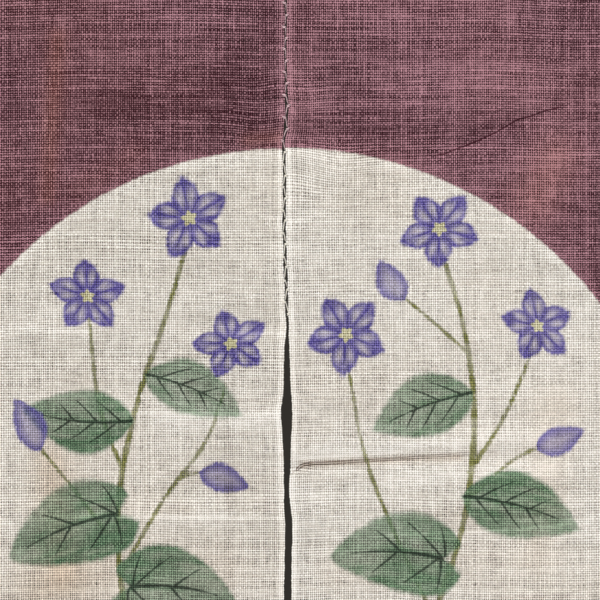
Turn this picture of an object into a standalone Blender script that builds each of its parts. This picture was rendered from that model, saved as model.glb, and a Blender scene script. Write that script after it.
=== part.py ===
"""Noren: a doorway curtain of two open-weave hemp panels that meet at a middle split.

The cloth hangs from its top edge. The origin is the middle of that edge, +Z is up, and the front faces -Y.
Depth is measured down from the top edge, and reach is measured from the split towards a panel's outer side.
"""

import math

import bmesh
import bpy

# Driving sizes, in metres
LENGTH = 0.900
PANEL_WIDTH = 0.370
CLOTH_THICKNESS = 0.0011
HEM_THICKNESS = 0.0022
TOP_HEM = 0.045
SIDE_HEM = 0.013
BOTTOM_HEM = 0.022
HEM_STEP = 0.0008

# The least room left between the two panels where their edges touch
TOUCHING_GAP = 0.0003

# How far a drawn edge still moves the cloth beside it
SPLIT_SOFTNESS = 0.016
SIDE_SOFTNESS = 0.045
CREASE_FADE = 0.022

# The bottom hem hangs this unevenly
HEM_SWAY = 0.0016
HEM_WAVE_LENGTH = 0.230

# Grid across a panel: (reach at the band's end, equal steps in the band)
ACROSS_BANDS = (
    (0.004, 1),
    (0.012, 1),
    (0.026, 1),
    (0.050, 1),
    (PANEL_WIDTH - SIDE_HEM - HEM_STEP, 12),
    (PANEL_WIDTH - SIDE_HEM, 1),
    (PANEL_WIDTH, 1),
)

# Grid down a panel: (depth at the band's end, equal steps in the band)
DOWN_BANDS = (
    (TOP_HEM, 2),
    (TOP_HEM + HEM_STEP, 1),
    (0.360, 17),
    (0.450, 12),
    (LENGTH - BOTTOM_HEM - HEM_STEP, 20),
    (LENGTH - BOTTOM_HEM, 1),
    (LENGTH, 1),
)

# The two selvedges along the split: (depth, left edge x, right edge x, left rise, right rise)
# A rise is how far the edge stands forward of the cloth. The edges are sewn to each other above 0.313.
SPLIT_COLUMNS = ("depth", "left_x", "right_x", "left_rise", "right_rise")
SPLIT_ROWS = (
    (0.000, -0.0004, 0.0004, 0.0000, 0.0000),
    (0.120, -0.0006, 0.0003, 0.0002, 0.0002),
    (0.160, -0.0010, 0.0003, 0.0003, 0.0002),
    (0.173, -0.0004, 0.0001, 0.0004, 0.0004),
    (0.193, -0.0006, 0.0015, 0.0002, 0.0006),
    (0.203, -0.0017, 0.0010, 0.0003, 0.0004),
    (0.213, -0.0019, -0.0006, 0.0002, 0.0002),
    (0.235, -0.0012, -0.0006, 0.0004, 0.0004),
    (0.258, -0.0019, 0.0005, 0.0003, 0.0005),
    (0.280, -0.0013, 0.0007, 0.0002, 0.0004),
    (0.307, -0.0005, 0.0015, 0.0003, 0.0005),
    (0.322, 0.0010, 0.0020, 0.0006, 0.0008),
    (0.339, -0.0011, 0.0021, 0.0003, 0.0010),
    (0.359, -0.0014, 0.0026, 0.0000, 0.0012),
    (0.376, -0.0029, 0.0038, -0.0006, 0.0018),
    (0.394, -0.0016, 0.0029, -0.0004, 0.0014),
    (0.421, -0.0010, 0.0019, 0.0004, 0.0008),
    (0.442, -0.0005, 0.0035, 0.0006, 0.0006),
    (0.520, -0.0016, 0.0026, 0.0010, 0.0000),
    (0.610, -0.0026, 0.0021, 0.0016, -0.0008),
    (0.700, -0.0018, 0.0034, 0.0022, -0.0004),
    (0.800, -0.0029, 0.0037, 0.0030, 0.0010),
    (0.900, -0.0035, 0.0030, 0.0038, 0.0020),
)

# How far each outer side is drawn in: (depth, left, right)
OUTER_COLUMNS = ("depth", "left", "right")
OUTER_ROWS = (
    (0.000, 0.0000, 0.0000),
    (0.130, 0.0012, 0.0008),
    (0.300, 0.0005, 0.0016),
    (0.480, 0.0018, 0.0007),
    (0.660, 0.0009, 0.0020),
    (0.900, 0.0003, 0.0006),
)

# Long soft folds: (reach at top, reach at hem, rise at hem, half width, depth where it starts)
FOLDS = {
    "left": (
        (0.335, 0.350, 0.0060, 0.026, 0.060),
        (0.268, 0.258, -0.0055, 0.034, 0.150),
        (0.196, 0.206, 0.0065, 0.036, 0.400),
        (0.128, 0.116, -0.0050, 0.030, 0.430),
        (0.062, 0.050, 0.0045, 0.026, 0.460),
    ),
    "right": (
        (0.342, 0.330, -0.0055, 0.030, 0.090),
        (0.282, 0.270, 0.0070, 0.034, 0.180),
        (0.210, 0.196, -0.0060, 0.036, 0.410),
        (0.112, 0.128, 0.0060, 0.040, 0.440),
        (0.040, 0.046, -0.0040, 0.024, 0.480),
    ),
}

# Slight billow of the cloth between its folds: (wave length across, wave length down, rise)
BILLOWS = {
    "left": ((0.310, 0.620, 0.0010), (0.170, 0.410, 0.0006)),
    "right": ((0.270, 0.540, 0.0010), (0.190, 0.350, 0.0006)),
}

# Storage creases and puckers: (reach from, depth from, reach to, depth to, rise, half width)
CREASES = {
    "left": (
        (0.000, 0.3750, 0.090, 0.3755, 0.0011, 0.0065),
        (0.000, 0.3985, 0.034, 0.3980, 0.0009, 0.0055),
        (0.000, 0.4360, 0.150, 0.4370, 0.0012, 0.0070),
        (0.120, 0.3270, 0.160, 0.3275, 0.0009, 0.0060),
        (0.010, 0.3220, 0.050, 0.3205, -0.0008, 0.0055),
    ),
    "right": (
        (0.004, 0.4090, 0.130, 0.3965, -0.0012, 0.0060),
        (0.012, 0.3990, 0.150, 0.3900, 0.0014, 0.0075),
        (0.130, 0.4110, 0.170, 0.4125, 0.0010, 0.0065),
        (0.004, 0.2200, 0.036, 0.2380, 0.0010, 0.0070),
        (0.090, 0.2195, 0.160, 0.1930, -0.0009, 0.0060),
    ),
}

SIDES = {"left": -1.0, "right": 1.0}
DYED_HEMP = (0.175, 0.075, 0.087, 1.0)


def clear_scene():
    """Remove whatever objects the file opened with."""
    for item in list(bpy.data.objects):
        bpy.data.objects.remove(item, do_unlink=True)


def smooth(value):
    """Ease a number from 0 to 1, level at both ends."""
    value = min(max(value, 0.0), 1.0)
    return value * value * (3.0 - 2.0 * value)


def read_rows(rows, columns, depth, name):
    """Read one named column of a table at a depth, eased between its rows."""
    column = columns.index(name)
    for upper, lower in zip(rows, rows[1:]):
        if depth <= lower[0]:
            part = (depth - upper[0]) / (lower[0] - upper[0])
            return upper[column] + (lower[column] - upper[column]) * smooth(part)
    return rows[-1][column]


def split_x(side, depth):
    """Place a panel's selvedge, and keep the two panels a touch apart."""
    left = read_rows(SPLIT_ROWS, SPLIT_COLUMNS, depth, "left_x")
    right = read_rows(SPLIT_ROWS, SPLIT_COLUMNS, depth, "right_x")
    spare = min(right - left - TOUCHING_GAP, 0.0) / 2.0
    return left + spare if side == "left" else right - spare


def fold_rise(side, reach, depth):
    """Add up the long soft folds, which deepen towards the bottom hem."""
    rise = 0.0
    for top_reach, hem_reach, hem_rise, half_width, start in FOLDS[side]:
        centre = top_reach + (hem_reach - top_reach) * depth / LENGTH
        growth = smooth((depth - start) / (LENGTH - start))
        rise += hem_rise * growth * math.exp(-(((reach - centre) / half_width) ** 2))
    return rise


def billow_rise(side, reach, depth):
    """Add the slight billow, which is nothing along the top edge."""
    rise = 0.0
    for across, down, height in BILLOWS[side]:
        wave = math.sin(2.0 * math.pi * reach / across) * math.sin(2.0 * math.pi * depth / down)
        rise += height * wave
    return rise * smooth(depth / TOP_HEM)


def crease_rise(side, reach, depth):
    """Add the creases, each a soft ridge or trough along a line that fades out at its ends."""
    rise = 0.0
    for from_reach, from_depth, to_reach, to_depth, height, half_width in CREASES[side]:
        run_reach = to_reach - from_reach
        run_depth = to_depth - from_depth
        run = math.hypot(run_reach, run_depth)
        along = ((reach - from_reach) * run_reach + (depth - from_depth) * run_depth) / run
        off = ((reach - from_reach) * run_depth - (depth - from_depth) * run_reach) / run
        ends = smooth((run + CREASE_FADE - along) / CREASE_FADE)
        starts = smooth((along + CREASE_FADE) / CREASE_FADE)
        rise += height * ends * starts * math.exp(-((off / half_width) ** 2))
    return rise


def cloth_point(side, reach, depth):
    """Place one point of the cloth's front from its reach and its depth."""
    sign = SIDES[side]
    edge_shift = split_x(side, depth)
    edge_rise = read_rows(SPLIT_ROWS, SPLIT_COLUMNS, depth, side + "_rise")
    drawn_in = read_rows(OUTER_ROWS, OUTER_COLUMNS, depth, side)
    near_split = math.exp(-reach / SPLIT_SOFTNESS)
    near_side = math.exp(-(PANEL_WIDTH - reach) / SIDE_SOFTNESS)
    x = sign * (reach - drawn_in * near_side) + edge_shift * near_split
    rise = fold_rise(side, reach, depth) + billow_rise(side, reach, depth)
    rise += crease_rise(side, reach, depth) + edge_rise * near_split
    sway = HEM_SWAY * math.sin(2.0 * math.pi * reach / HEM_WAVE_LENGTH + sign) * smooth(depth / LENGTH)
    return x, -HEM_THICKNESS / 2.0 - rise, sway - depth


def stations(bands):
    """List the grid lines of a run of bands, each in equal steps."""
    places = [0.0]
    for end, steps in bands:
        start = places[-1]
        places += [start + (end - start) * step / steps for step in range(1, steps + 1)]
    return places


def is_hem(reach, depth):
    """Tell whether a point lies on one of the three turned hems."""
    on_side = reach > PANEL_WIDTH - SIDE_HEM - HEM_STEP / 2.0
    on_top = depth < TOP_HEM + HEM_STEP / 2.0
    on_bottom = depth > LENGTH - BOTTOM_HEM - HEM_STEP / 2.0
    return on_side or on_top or on_bottom


def make_cloth_material(name):
    """Make the dyed hemp's plain colour for one panel."""
    material = bpy.data.materials.new(name)
    material.use_nodes = True
    shader = material.node_tree.nodes["Principled BSDF"]
    shader.inputs["Base Color"].default_value = DYED_HEMP
    shader.inputs["Roughness"].default_value = 0.9
    shader.inputs["Metallic"].default_value = 0.0
    return material


def add_panel(collection, side):
    """Add one panel: a fitted grid, thickened backwards, and thicker along its hems."""
    reaches = stations(ACROSS_BANDS)
    depths = stations(DOWN_BANDS)
    grid = bmesh.new()
    bmesh.ops.create_grid(grid, x_segments=len(reaches) - 1, y_segments=len(depths) - 1, size=0.5)
    hem_layer = grid.verts.layers.deform.verify()
    for vert in grid.verts:
        column = round((vert.co.x + 0.5) * (len(reaches) - 1))
        row = round((0.5 - vert.co.y) * (len(depths) - 1))
        reach = reaches[column]
        depth = depths[row]
        vert[hem_layer][0] = 1.0 if is_hem(reach, depth) else CLOTH_THICKNESS / HEM_THICKNESS
        vert.co = cloth_point(side, reach, depth)
    if SIDES[side] < 0.0:
        bmesh.ops.reverse_faces(grid, faces=grid.faces[:])

    name = "panel_" + side
    mesh = bpy.data.meshes.new(name)
    grid.to_mesh(mesh)
    grid.free()
    mesh.shade_smooth()
    mesh.materials.append(make_cloth_material("dyed_hemp_" + side))
    panel = bpy.data.objects.new(name, mesh)
    collection.objects.link(panel)
    panel.vertex_groups.new(name="hem")

    wall = panel.modifiers.new("cloth", "SOLIDIFY")
    wall.thickness = HEM_THICKNESS
    wall.offset = -1.0
    wall.vertex_group = "hem"
    return panel


def main():
    """Build the noren's two panels."""
    clear_scene()
    noren = bpy.data.collections.new("noren_curtain")
    bpy.context.scene.collection.children.link(noren)
    for side in SIDES:
        add_panel(noren, side)


if __name__ == "__main__":
    main()
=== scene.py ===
"""Noren: the finished cloth of the two hemp panels, its dyed picture, its sewing, and a plain studio.

Depth is measured down from the top edge, and reach from the split towards a panel's outer side, in metres.
"""

import logging
import math
from dataclasses import dataclass
from enum import Enum

import bpy
import numpy as np
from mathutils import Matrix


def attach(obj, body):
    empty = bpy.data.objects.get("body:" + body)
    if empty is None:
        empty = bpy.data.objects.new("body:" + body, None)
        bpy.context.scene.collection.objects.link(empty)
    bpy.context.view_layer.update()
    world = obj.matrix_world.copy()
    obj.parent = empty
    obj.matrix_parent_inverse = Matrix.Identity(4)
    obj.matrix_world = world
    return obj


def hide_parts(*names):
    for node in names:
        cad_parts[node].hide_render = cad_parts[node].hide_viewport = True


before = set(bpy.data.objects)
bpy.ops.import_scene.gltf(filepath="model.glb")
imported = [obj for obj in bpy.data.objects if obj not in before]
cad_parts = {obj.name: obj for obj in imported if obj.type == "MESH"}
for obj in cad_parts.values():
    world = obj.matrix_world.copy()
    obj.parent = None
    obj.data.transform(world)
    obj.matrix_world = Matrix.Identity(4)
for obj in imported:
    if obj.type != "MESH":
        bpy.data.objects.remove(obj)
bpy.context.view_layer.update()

LOG = logging.getLogger("noren")

# The finished sizes of a panel, in metres, as its solid has them
LENGTH = 0.900
PANEL_WIDTH = 0.370
HEM_THICKNESS = 0.0022
TOP_HEM = 0.045
SIDE_HEM = 0.013
BOTTOM_HEM = 0.022
TURNED_UNDER = 0.010

# The cloth's front lies this far behind the solid's front
INSET = 0.0002

# How far a drawn edge still moves the cloth beside it
SPLIT_SOFTNESS = 0.016
SIDE_SOFTNESS = 0.045
CREASE_FADE = 0.022
HEM_SWAY = 0.0016
HEM_WAVE_LENGTH = 0.230

# Open plain weave: 7.6 ends and about 6.8 picks to the centimetre
WARP_PITCH = 0.00132
WEFT_PITCH = 0.00147

# The selvedges are laced together down to this depth, with a stitch each way every 13.8 mm
LACED_DEPTH = 0.3150
LACING_PITCH = 0.0138

# The undyed disc: its middle and its radius
DISC_X = 0.0017
DISC_DEPTH = 0.450
DISC_RADIUS = 0.234

# The cloth is modelled this finely where it is painted, and this coarsely elsewhere
FINE_STEP = 0.0015
COARSE_STEP = 0.0050
PAINTED_REACH = 0.238
PAINTED_FROM = 0.186
PAINTED_TO = 0.688

MM = 0.001

# The cloth's material reads places and thread numbers that start clear of zero, so that none is negative
CLEAR_OF_ZERO = 1.0
FIRST_THREAD = 500.0


class Side(Enum):
    """The panel on the viewer's left or right, with the sign of its x."""

    LEFT = -1
    RIGHT = 1

    @property
    def word(self) -> str:
        """The side as it stands in a name."""
        return self.name.lower()


# The two selvedges along the split: depth, left edge x, right edge x, left rise, right rise
SPLIT_ROWS = np.array((
    (0.000, -0.0003, 0.0003, 0.0000, 0.0000),
    (0.120, -0.0004, 0.0001, 0.0002, 0.0002),
    (0.160, -0.0006, -0.0001, 0.0003, 0.0002),
    (0.173, -0.0003, 0.0001, 0.0004, 0.0004),
    (0.193, -0.0002, 0.0010, 0.0002, 0.0006),
    (0.203, -0.0010, 0.0005, 0.0003, 0.0004),
    (0.213, -0.0018, -0.0009, 0.0002, 0.0002),
    (0.235, -0.0013, -0.0006, 0.0004, 0.0004),
    (0.258, -0.0017, -0.0007, 0.0003, 0.0005),
    (0.280, -0.0011, -0.0001, 0.0002, 0.0004),
    (0.307, -0.0004, 0.0008, 0.0003, 0.0005),
    (0.322, 0.0006, 0.0014, 0.0006, 0.0008),
    (0.339, -0.0011, 0.0021, 0.0003, 0.0010),
    (0.359, -0.0014, 0.0026, 0.0000, 0.0012),
    (0.376, -0.0029, 0.0038, -0.0006, 0.0018),
    (0.394, -0.0016, 0.0029, -0.0004, 0.0014),
    (0.421, -0.0010, 0.0019, 0.0004, 0.0008),
    (0.442, -0.0005, 0.0035, 0.0006, 0.0006),
    (0.520, -0.0016, 0.0026, 0.0010, 0.0000),
    (0.610, -0.0026, 0.0021, 0.0016, -0.0008),
    (0.700, -0.0018, 0.0034, 0.0022, -0.0004),
    (0.800, -0.0029, 0.0037, 0.0030, 0.0010),
    (0.900, -0.0035, 0.0030, 0.0038, 0.0020),
))

# How far each outer side is drawn in: depth, left, right
OUTER_ROWS = np.array((
    (0.000, 0.0000, 0.0000),
    (0.130, 0.0012, 0.0008),
    (0.300, 0.0005, 0.0016),
    (0.480, 0.0018, 0.0007),
    (0.660, 0.0009, 0.0020),
    (0.900, 0.0003, 0.0006),
))


@dataclass(frozen=True)
class Fold:
    """A long soft fold, which deepens from where it starts down to the hem."""

    top_reach: float
    hem_reach: float
    hem_rise: float
    half_width: float
    start: float


@dataclass(frozen=True)
class Crease:
    """A soft ridge, or with a negative rise a trough, along a line that fades at its ends."""

    from_reach: float
    from_depth: float
    to_reach: float
    to_depth: float
    rise: float
    half_width: float


@dataclass(frozen=True)
class Bow:
    """A place where the picks are pulled up or down beside the split, in metres of shift."""

    reach: float
    depth: float
    across: float
    down: float
    shift: float


@dataclass(frozen=True)
class ReedMark:
    """A stripe where the ends stand a little apart, as a reed leaves them."""

    reach: float
    half_width: float
    looseness: float


@dataclass(frozen=True)
class WashMark:
    """A stroke where the dye or the bare cloth is lighter, or with a minus darker, and perhaps redder. Along
    the creases on the disc, such strokes are painted highlight and painted shade.
    """

    from_reach: float
    from_depth: float
    to_reach: float
    to_depth: float
    half_width: float
    lighter: float
    redder: float = 0.0


FOLDS = {
    Side.LEFT: (
        Fold(0.335, 0.350, 0.0060, 0.026, 0.060),
        Fold(0.268, 0.258, -0.0055, 0.034, 0.150),
        Fold(0.196, 0.206, 0.0065, 0.036, 0.400),
        Fold(0.128, 0.116, -0.0050, 0.030, 0.430),
        Fold(0.062, 0.050, 0.0045, 0.026, 0.460),
    ),
    Side.RIGHT: (
        Fold(0.342, 0.330, -0.0055, 0.030, 0.090),
        Fold(0.282, 0.270, 0.0070, 0.034, 0.180),
        Fold(0.210, 0.196, -0.0060, 0.036, 0.410),
        Fold(0.112, 0.128, 0.0060, 0.040, 0.440),
        Fold(0.040, 0.046, -0.0040, 0.024, 0.480),
    ),
}

# Slight billow: wave length across, wave length down, rise
BILLOWS = {
    Side.LEFT: ((0.310, 0.620, 0.0010), (0.170, 0.410, 0.0006)),
    Side.RIGHT: ((0.270, 0.540, 0.0010), (0.190, 0.350, 0.0006)),
}

CREASES = {
    Side.LEFT: (
        Crease(0.000, 0.3750, 0.090, 0.3755, 0.0011, 0.0065),
        Crease(0.000, 0.3985, 0.034, 0.3980, 0.0009, 0.0055),
        Crease(0.000, 0.4360, 0.150, 0.4370, 0.0012, 0.0070),
        Crease(0.120, 0.3270, 0.160, 0.3275, 0.0009, 0.0060),
        Crease(0.010, 0.3220, 0.050, 0.3205, -0.0008, 0.0055),
    ),
    Side.RIGHT: (
        Crease(0.004, 0.4090, 0.130, 0.3965, -0.0012, 0.0060),
        Crease(0.012, 0.3990, 0.150, 0.3900, 0.0014, 0.0075),
        Crease(0.130, 0.4110, 0.170, 0.4125, 0.0010, 0.0065),
        Crease(0.004, 0.2200, 0.036, 0.2380, 0.0010, 0.0070),
        Crease(0.090, 0.2195, 0.160, 0.1930, -0.0009, 0.0060),
    ),
}

# Sharper small creases that only the finished cloth shows
FINE_CREASES = {
    Side.LEFT: (
        Crease(0.000, 0.3210, 0.048, 0.3222, -0.00035, 0.0012),
        Crease(0.075, 0.3290, 0.142, 0.3292, -0.00030, 0.0012),
        Crease(0.000, 0.3700, 0.050, 0.3690, -0.00030, 0.0014),
    ),
    Side.RIGHT: (
        Crease(0.004, 0.4085, 0.108, 0.3998, -0.00055, 0.0013),
        Crease(0.010, 0.4060, 0.120, 0.3968, 0.00045, 0.0016),
        Crease(0.091, 0.2193, 0.158, 0.1930, -0.00050, 0.0011),
    ),
}

BOWS = {
    Side.LEFT: (
        Bow(0.016, 0.200, 0.014, 0.016, 0.0022),
        Bow(0.004, 0.176, 0.010, 0.010, -0.0016),
        Bow(0.018, 0.318, 0.020, 0.010, 0.0012),
    ),
    Side.RIGHT: (
        Bow(0.002, 0.229, 0.020, 0.014, -0.0050),
        Bow(0.034, 0.226, 0.016, 0.012, 0.0016),
        Bow(0.004, 0.405, 0.010, 0.006, -0.0022),
        Bow(0.010, 0.186, 0.012, 0.010, 0.0012),
    ),
}

REED_MARKS = {
    Side.LEFT: (
        ReedMark(0.034, 0.0030, 0.55),
        ReedMark(0.0725, 0.0026, 0.45),
        ReedMark(0.118, 0.0032, 0.35),
        ReedMark(0.190, 0.0030, 0.40),
        ReedMark(0.262, 0.0030, 0.40),
    ),
    Side.RIGHT: (
        ReedMark(0.0096, 0.0014, 0.90),
        ReedMark(0.051, 0.0028, 0.40),
        ReedMark(0.094, 0.0026, 0.40),
        ReedMark(0.148, 0.0032, 0.45),
        ReedMark(0.221, 0.0030, 0.40),
    ),
}


# Lighter, darker and redder strokes on the mauve. On the disc, painted highlight bands along the ridges of
# the creases, painted shade bands beside them, one with a soiled tint along the pressed crease, and lighter,
# darker and redder patches
WASH_AND_LIGHT_MARKS = {
    Side.LEFT: (
        WashMark(0.137, 0.150, 0.143, 0.245, 0.006, 0.03, 0.55),
        WashMark(0.100, 0.192, 0.020, 0.196, 0.016, -0.20),
        WashMark(0.030, 0.165, 0.008, 0.178, 0.010, -0.14),
        WashMark(0.115, 0.162, 0.040, 0.160, 0.004, 0.16),
        WashMark(0.125, 0.240, 0.090, 0.220, 0.009, 0.07, 0.25),
        WashMark(0.005, 0.158, 0.005, 0.208, 0.008, 0.09),
        WashMark(0.022, 0.211, 0.004, 0.209, 0.005, 0.06, 0.45),
        WashMark(0.150, 0.500, 0.130, 0.640, 0.022, -0.16, 0.30),
        WashMark(0.141, 0.405, 0.134, 0.470, 0.012, -0.04, 0.50),
        WashMark(0.130, 0.432, 0.060, 0.434, 0.005, -0.18, 0.10),
        WashMark(0.034, 0.385, 0.034, 0.475, 0.003, -0.16),
        WashMark(0.074, 0.379, 0.002, 0.380, 0.0065, 0.42),
        WashMark(0.120, 0.437, 0.004, 0.437, 0.004, 0.26),
        WashMark(0.140, 0.3275, 0.120, 0.3275, 0.003, 0.14),
        WashMark(0.028, 0.412, 0.004, 0.446, 0.014, -0.14, 0.05),
        WashMark(0.150, 0.476, 0.040, 0.466, 0.018, -0.06, 0.24),
    ),
    Side.RIGHT: (
        WashMark(0.006, 0.175, 0.026, 0.185, 0.010, 0.14),
        WashMark(0.060, 0.170, 0.150, 0.178, 0.012, 0.16),
        WashMark(0.030, 0.202, 0.140, 0.206, 0.010, -0.16),
        WashMark(0.010, 0.1905, 0.160, 0.1900, 0.0014, 0.22),
        WashMark(0.150, 0.245, 0.162, 0.222, 0.017, 0.28, 0.42),
        WashMark(0.128, 0.206, 0.152, 0.232, 0.012, 0.08),
        WashMark(0.066, 0.198, 0.050, 0.224, 0.011, -0.14),
        WashMark(0.078, 0.394, 0.158, 0.388, 0.0045, 0.42),
        WashMark(0.006, 0.401, 0.074, 0.396, 0.0030, 0.36),
        WashMark(0.010, 0.4065, 0.104, 0.4010, 0.0026, -0.20, 0.35),
        WashMark(0.060, 0.416, 0.164, 0.406, 0.0050, 0.34),
        WashMark(0.080, 0.436, 0.160, 0.432, 0.007, -0.20, 0.12),
        WashMark(0.140, 0.500, 0.165, 0.600, 0.024, -0.10, 0.25),
        WashMark(0.162, 0.372, 0.150, 0.458, 0.015, 0.02, 0.28),
        WashMark(0.120, 0.462, 0.030, 0.470, 0.016, -0.06, 0.16),
    ),
}


def smooth(value: np.ndarray) -> np.ndarray:
    """Ease numbers from 0 to 1, level at both ends."""
    value = np.clip(value, 0.0, 1.0)
    return value * value * (3.0 - 2.0 * value)


def read_rows(rows: np.ndarray, column: int, depth: np.ndarray) -> np.ndarray:
    """Read one column of a table of depths, eased between its rows.

    Args:
        rows: The table, with depth in its first column.
        column: The column to read.
        depth: Where to read it.

    Returns:
        The column's value at each depth.
    """
    row = np.clip(np.searchsorted(rows[:, 0], depth, side="right") - 1, 0, len(rows) - 2)
    part = smooth((depth - rows[row, 0]) / (rows[row + 1, 0] - rows[row, 0]))
    return rows[row, column] * (1.0 - part) + rows[row + 1, column] * part


# A random table this many cells wide repeats, and the pattern is read from a little inside it
TABLE_SIDE = 64
TABLE_START = (7.0, 11.0)


def uneven(across: np.ndarray, down: np.ndarray, cell: float, seed: int) -> np.ndarray:
    """Give soft random unevenness from -1 to 1, the same each run.

    Args:
        across: First coordinate, in metres.
        down: Second coordinate, in metres.
        cell: Size of one bump, in metres.
        seed: Which of many patterns.

    Returns:
        The unevenness at each point.
    """
    table = np.random.default_rng(seed).uniform(-1.0, 1.0, (TABLE_SIDE, TABLE_SIDE))
    first, second = np.broadcast_arrays(across / cell + TABLE_START[0], down / cell + TABLE_START[1])
    i, j = np.floor(first).astype(int), np.floor(second).astype(int)
    a, b = smooth(first - i), smooth(second - j)
    i0, i1, j0, j1 = (index % TABLE_SIDE for index in (i, i + 1, j, j + 1))
    near = table[i0, j0] * (1.0 - b) + table[i0, j1] * b
    far = table[i1, j0] * (1.0 - b) + table[i1, j1] * b
    return near * (1.0 - a) + far * a


@dataclass(frozen=True)
class HangingCloth:
    """How one panel hangs: the same drape as its solid, with finer unevenness on it."""

    side: Side
    fine_rise: float = 0.00022
    fine_cell: float = 0.019
    lacing_pucker: float = 0.00040
    pucker_reach: float = 0.010
    pucker_fade: float = 0.006
    edge_wander: float = 0.00022
    edge_cell: float = 0.0062

    def split_x(self, depth: np.ndarray) -> np.ndarray:
        """Place the selvedge, with the small wander of a woven edge."""
        column = 1 if self.side is Side.LEFT else 2
        wander = self.edge_wander * uneven(depth, np.zeros_like(depth), self.edge_cell, 5 + column)
        return read_rows(SPLIT_ROWS, column, depth) + wander

    def crease_rise(self, creases: tuple[Crease, ...], reach: np.ndarray, depth: np.ndarray) -> np.ndarray:
        """Add up creases.

        Args:
            creases: The creases to add.
            reach: Distance from the split.
            depth: Distance down from the top edge.

        Returns:
            How far the cloth stands forward at each point.
        """
        rise = np.zeros(np.broadcast(reach, depth).shape)
        for crease in creases:
            run_reach = crease.to_reach - crease.from_reach
            run_depth = crease.to_depth - crease.from_depth
            run = math.hypot(run_reach, run_depth)
            from_reach, from_depth = reach - crease.from_reach, depth - crease.from_depth
            along = (from_reach * run_reach + from_depth * run_depth) / run
            off = (from_reach * run_depth - from_depth * run_reach) / run
            ends = smooth((run + CREASE_FADE - along) / CREASE_FADE)
            starts = smooth((along + CREASE_FADE) / CREASE_FADE)
            rise += crease.rise * ends * starts * np.exp(-((off / crease.half_width) ** 2))
        return rise

    def rise(self, reach: np.ndarray, depth: np.ndarray) -> np.ndarray:
        """Add up the folds, the billow, the creases and the fine unevenness.

        Args:
            reach: Distance from the split.
            depth: Distance down from the top edge.

        Returns:
            How far the cloth stands forward at each point.
        """
        rise = self.crease_rise(CREASES[self.side] + FINE_CREASES[self.side], reach, depth)
        for fold in FOLDS[self.side]:
            centre = fold.top_reach + (fold.hem_reach - fold.top_reach) * depth / LENGTH
            growth = smooth((depth - fold.start) / (LENGTH - fold.start))
            rise += fold.hem_rise * growth * np.exp(-(((reach - centre) / fold.half_width) ** 2))
        level = smooth(depth / TOP_HEM)
        for across, down, height in BILLOWS[self.side]:
            wave = np.sin(2.0 * math.pi * reach / across) * np.sin(2.0 * math.pi * depth / down)
            rise += height * wave * level
        rise += self.fine_rise * level * uneven(reach, depth * 1.6, self.fine_cell, 21 + self.side.value)
        laced = smooth((LACED_DEPTH + self.pucker_fade - depth) / self.pucker_fade)
        laced = laced * np.exp(-reach / self.pucker_reach)
        rise += self.lacing_pucker * laced * np.sin(2.0 * math.pi * depth / LACING_PITCH)
        column = 3 if self.side is Side.LEFT else 4
        return rise + read_rows(SPLIT_ROWS, column, depth) * np.exp(-reach / SPLIT_SOFTNESS)

    def place(self, reach: np.ndarray, depth: np.ndarray, back: np.ndarray) -> np.ndarray:
        """Place points of the cloth in the object's frame.

        Args:
            reach: Distance from the split.
            depth: Distance down from the top edge.
            back: How far behind the cloth's front the point lies.

        Returns:
            The points, one row of x, y, z each.
        """
        sign = self.side.value
        outer = read_rows(OUTER_ROWS, 1 if self.side is Side.LEFT else 2, depth)
        near_split = np.exp(-reach / SPLIT_SOFTNESS)
        near_side = np.exp(-(PANEL_WIDTH - reach) / SIDE_SOFTNESS)
        x = sign * (reach - outer * near_side) + self.split_x(depth) * near_split
        y = INSET - HEM_THICKNESS / 2.0 - self.rise(reach, depth) + back
        sway = HEM_SWAY * np.sin(2.0 * math.pi * reach / HEM_WAVE_LENGTH + sign) * smooth(depth / LENGTH)
        return np.stack(np.broadcast_arrays(x, y, sway - depth), axis=-1)


@dataclass(frozen=True)
class TurnedHem:
    """A hem turned twice to the back: over at the edge, then its raw edge tucked under."""

    width: float
    radius: float

    @property
    def tuck_radius(self) -> float:
        """The raw edge lies half way between the front and the hem's back."""
        return self.radius / 2.0

    @property
    def cloth_used(self) -> float:
        """The cloth beyond the hem's outer edge, bends left out."""
        return self.width + TURNED_UNDER

    def stations(self) -> list[float]:
        """List grid lines along the cloth past the fold line, with three or four steps round each bend."""
        marks = [0.0]
        runs = (
            (math.pi * self.radius, 4),
            (self.width, max(3, round(self.width / COARSE_STEP))),
            (math.pi * self.tuck_radius, 3),
            (TURNED_UNDER, 3),
        )
        for run, steps in runs:
            start = marks[-1]
            marks += [start + run * step / steps for step in range(1, steps + 1)]
        return marks[1:]

    def turn(self, beyond: np.ndarray, back: np.ndarray) -> tuple[np.ndarray, np.ndarray]:
        """Fold flat cloth round the hem.

        Args:
            beyond: Distance past the fold line along the flat cloth, negative before it.
            back: How far behind the front the layer lies before this fold.

        Returns:
            The distance outwards from the fold line, and how far behind the front it now lies.
        """
        bend, tuck = math.pi * self.radius, math.pi * self.tuck_radius
        raw = bend + self.width
        first = np.clip(beyond / self.radius, 0.0, math.pi)
        second = np.clip((beyond - raw) / self.tuck_radius, 0.0, math.pi)
        outer, inner = self.radius - back, self.tuck_radius - back
        middle = 2.0 * self.radius - self.tuck_radius
        stretches = [beyond <= 0.0, beyond <= bend, beyond <= raw, beyond <= raw + tuck]
        out = [beyond, outer * np.sin(first), bend - beyond, -self.width - inner * np.sin(second)]
        behind = [back, self.radius - outer * np.cos(first), 2.0 * self.radius - back,
                  middle + inner * np.cos(second)]
        return (np.select(stretches, out, beyond - raw - self.width - tuck),
                np.select(stretches, behind, 2.0 * (self.radius - self.tuck_radius) + back))


SIDE_TURN = TurnedHem(SIDE_HEM, 0.00025)
TOP_TURN = TurnedHem(TOP_HEM, 0.00070)
BOTTOM_TURN = TurnedHem(BOTTOM_HEM, 0.00070)


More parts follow.
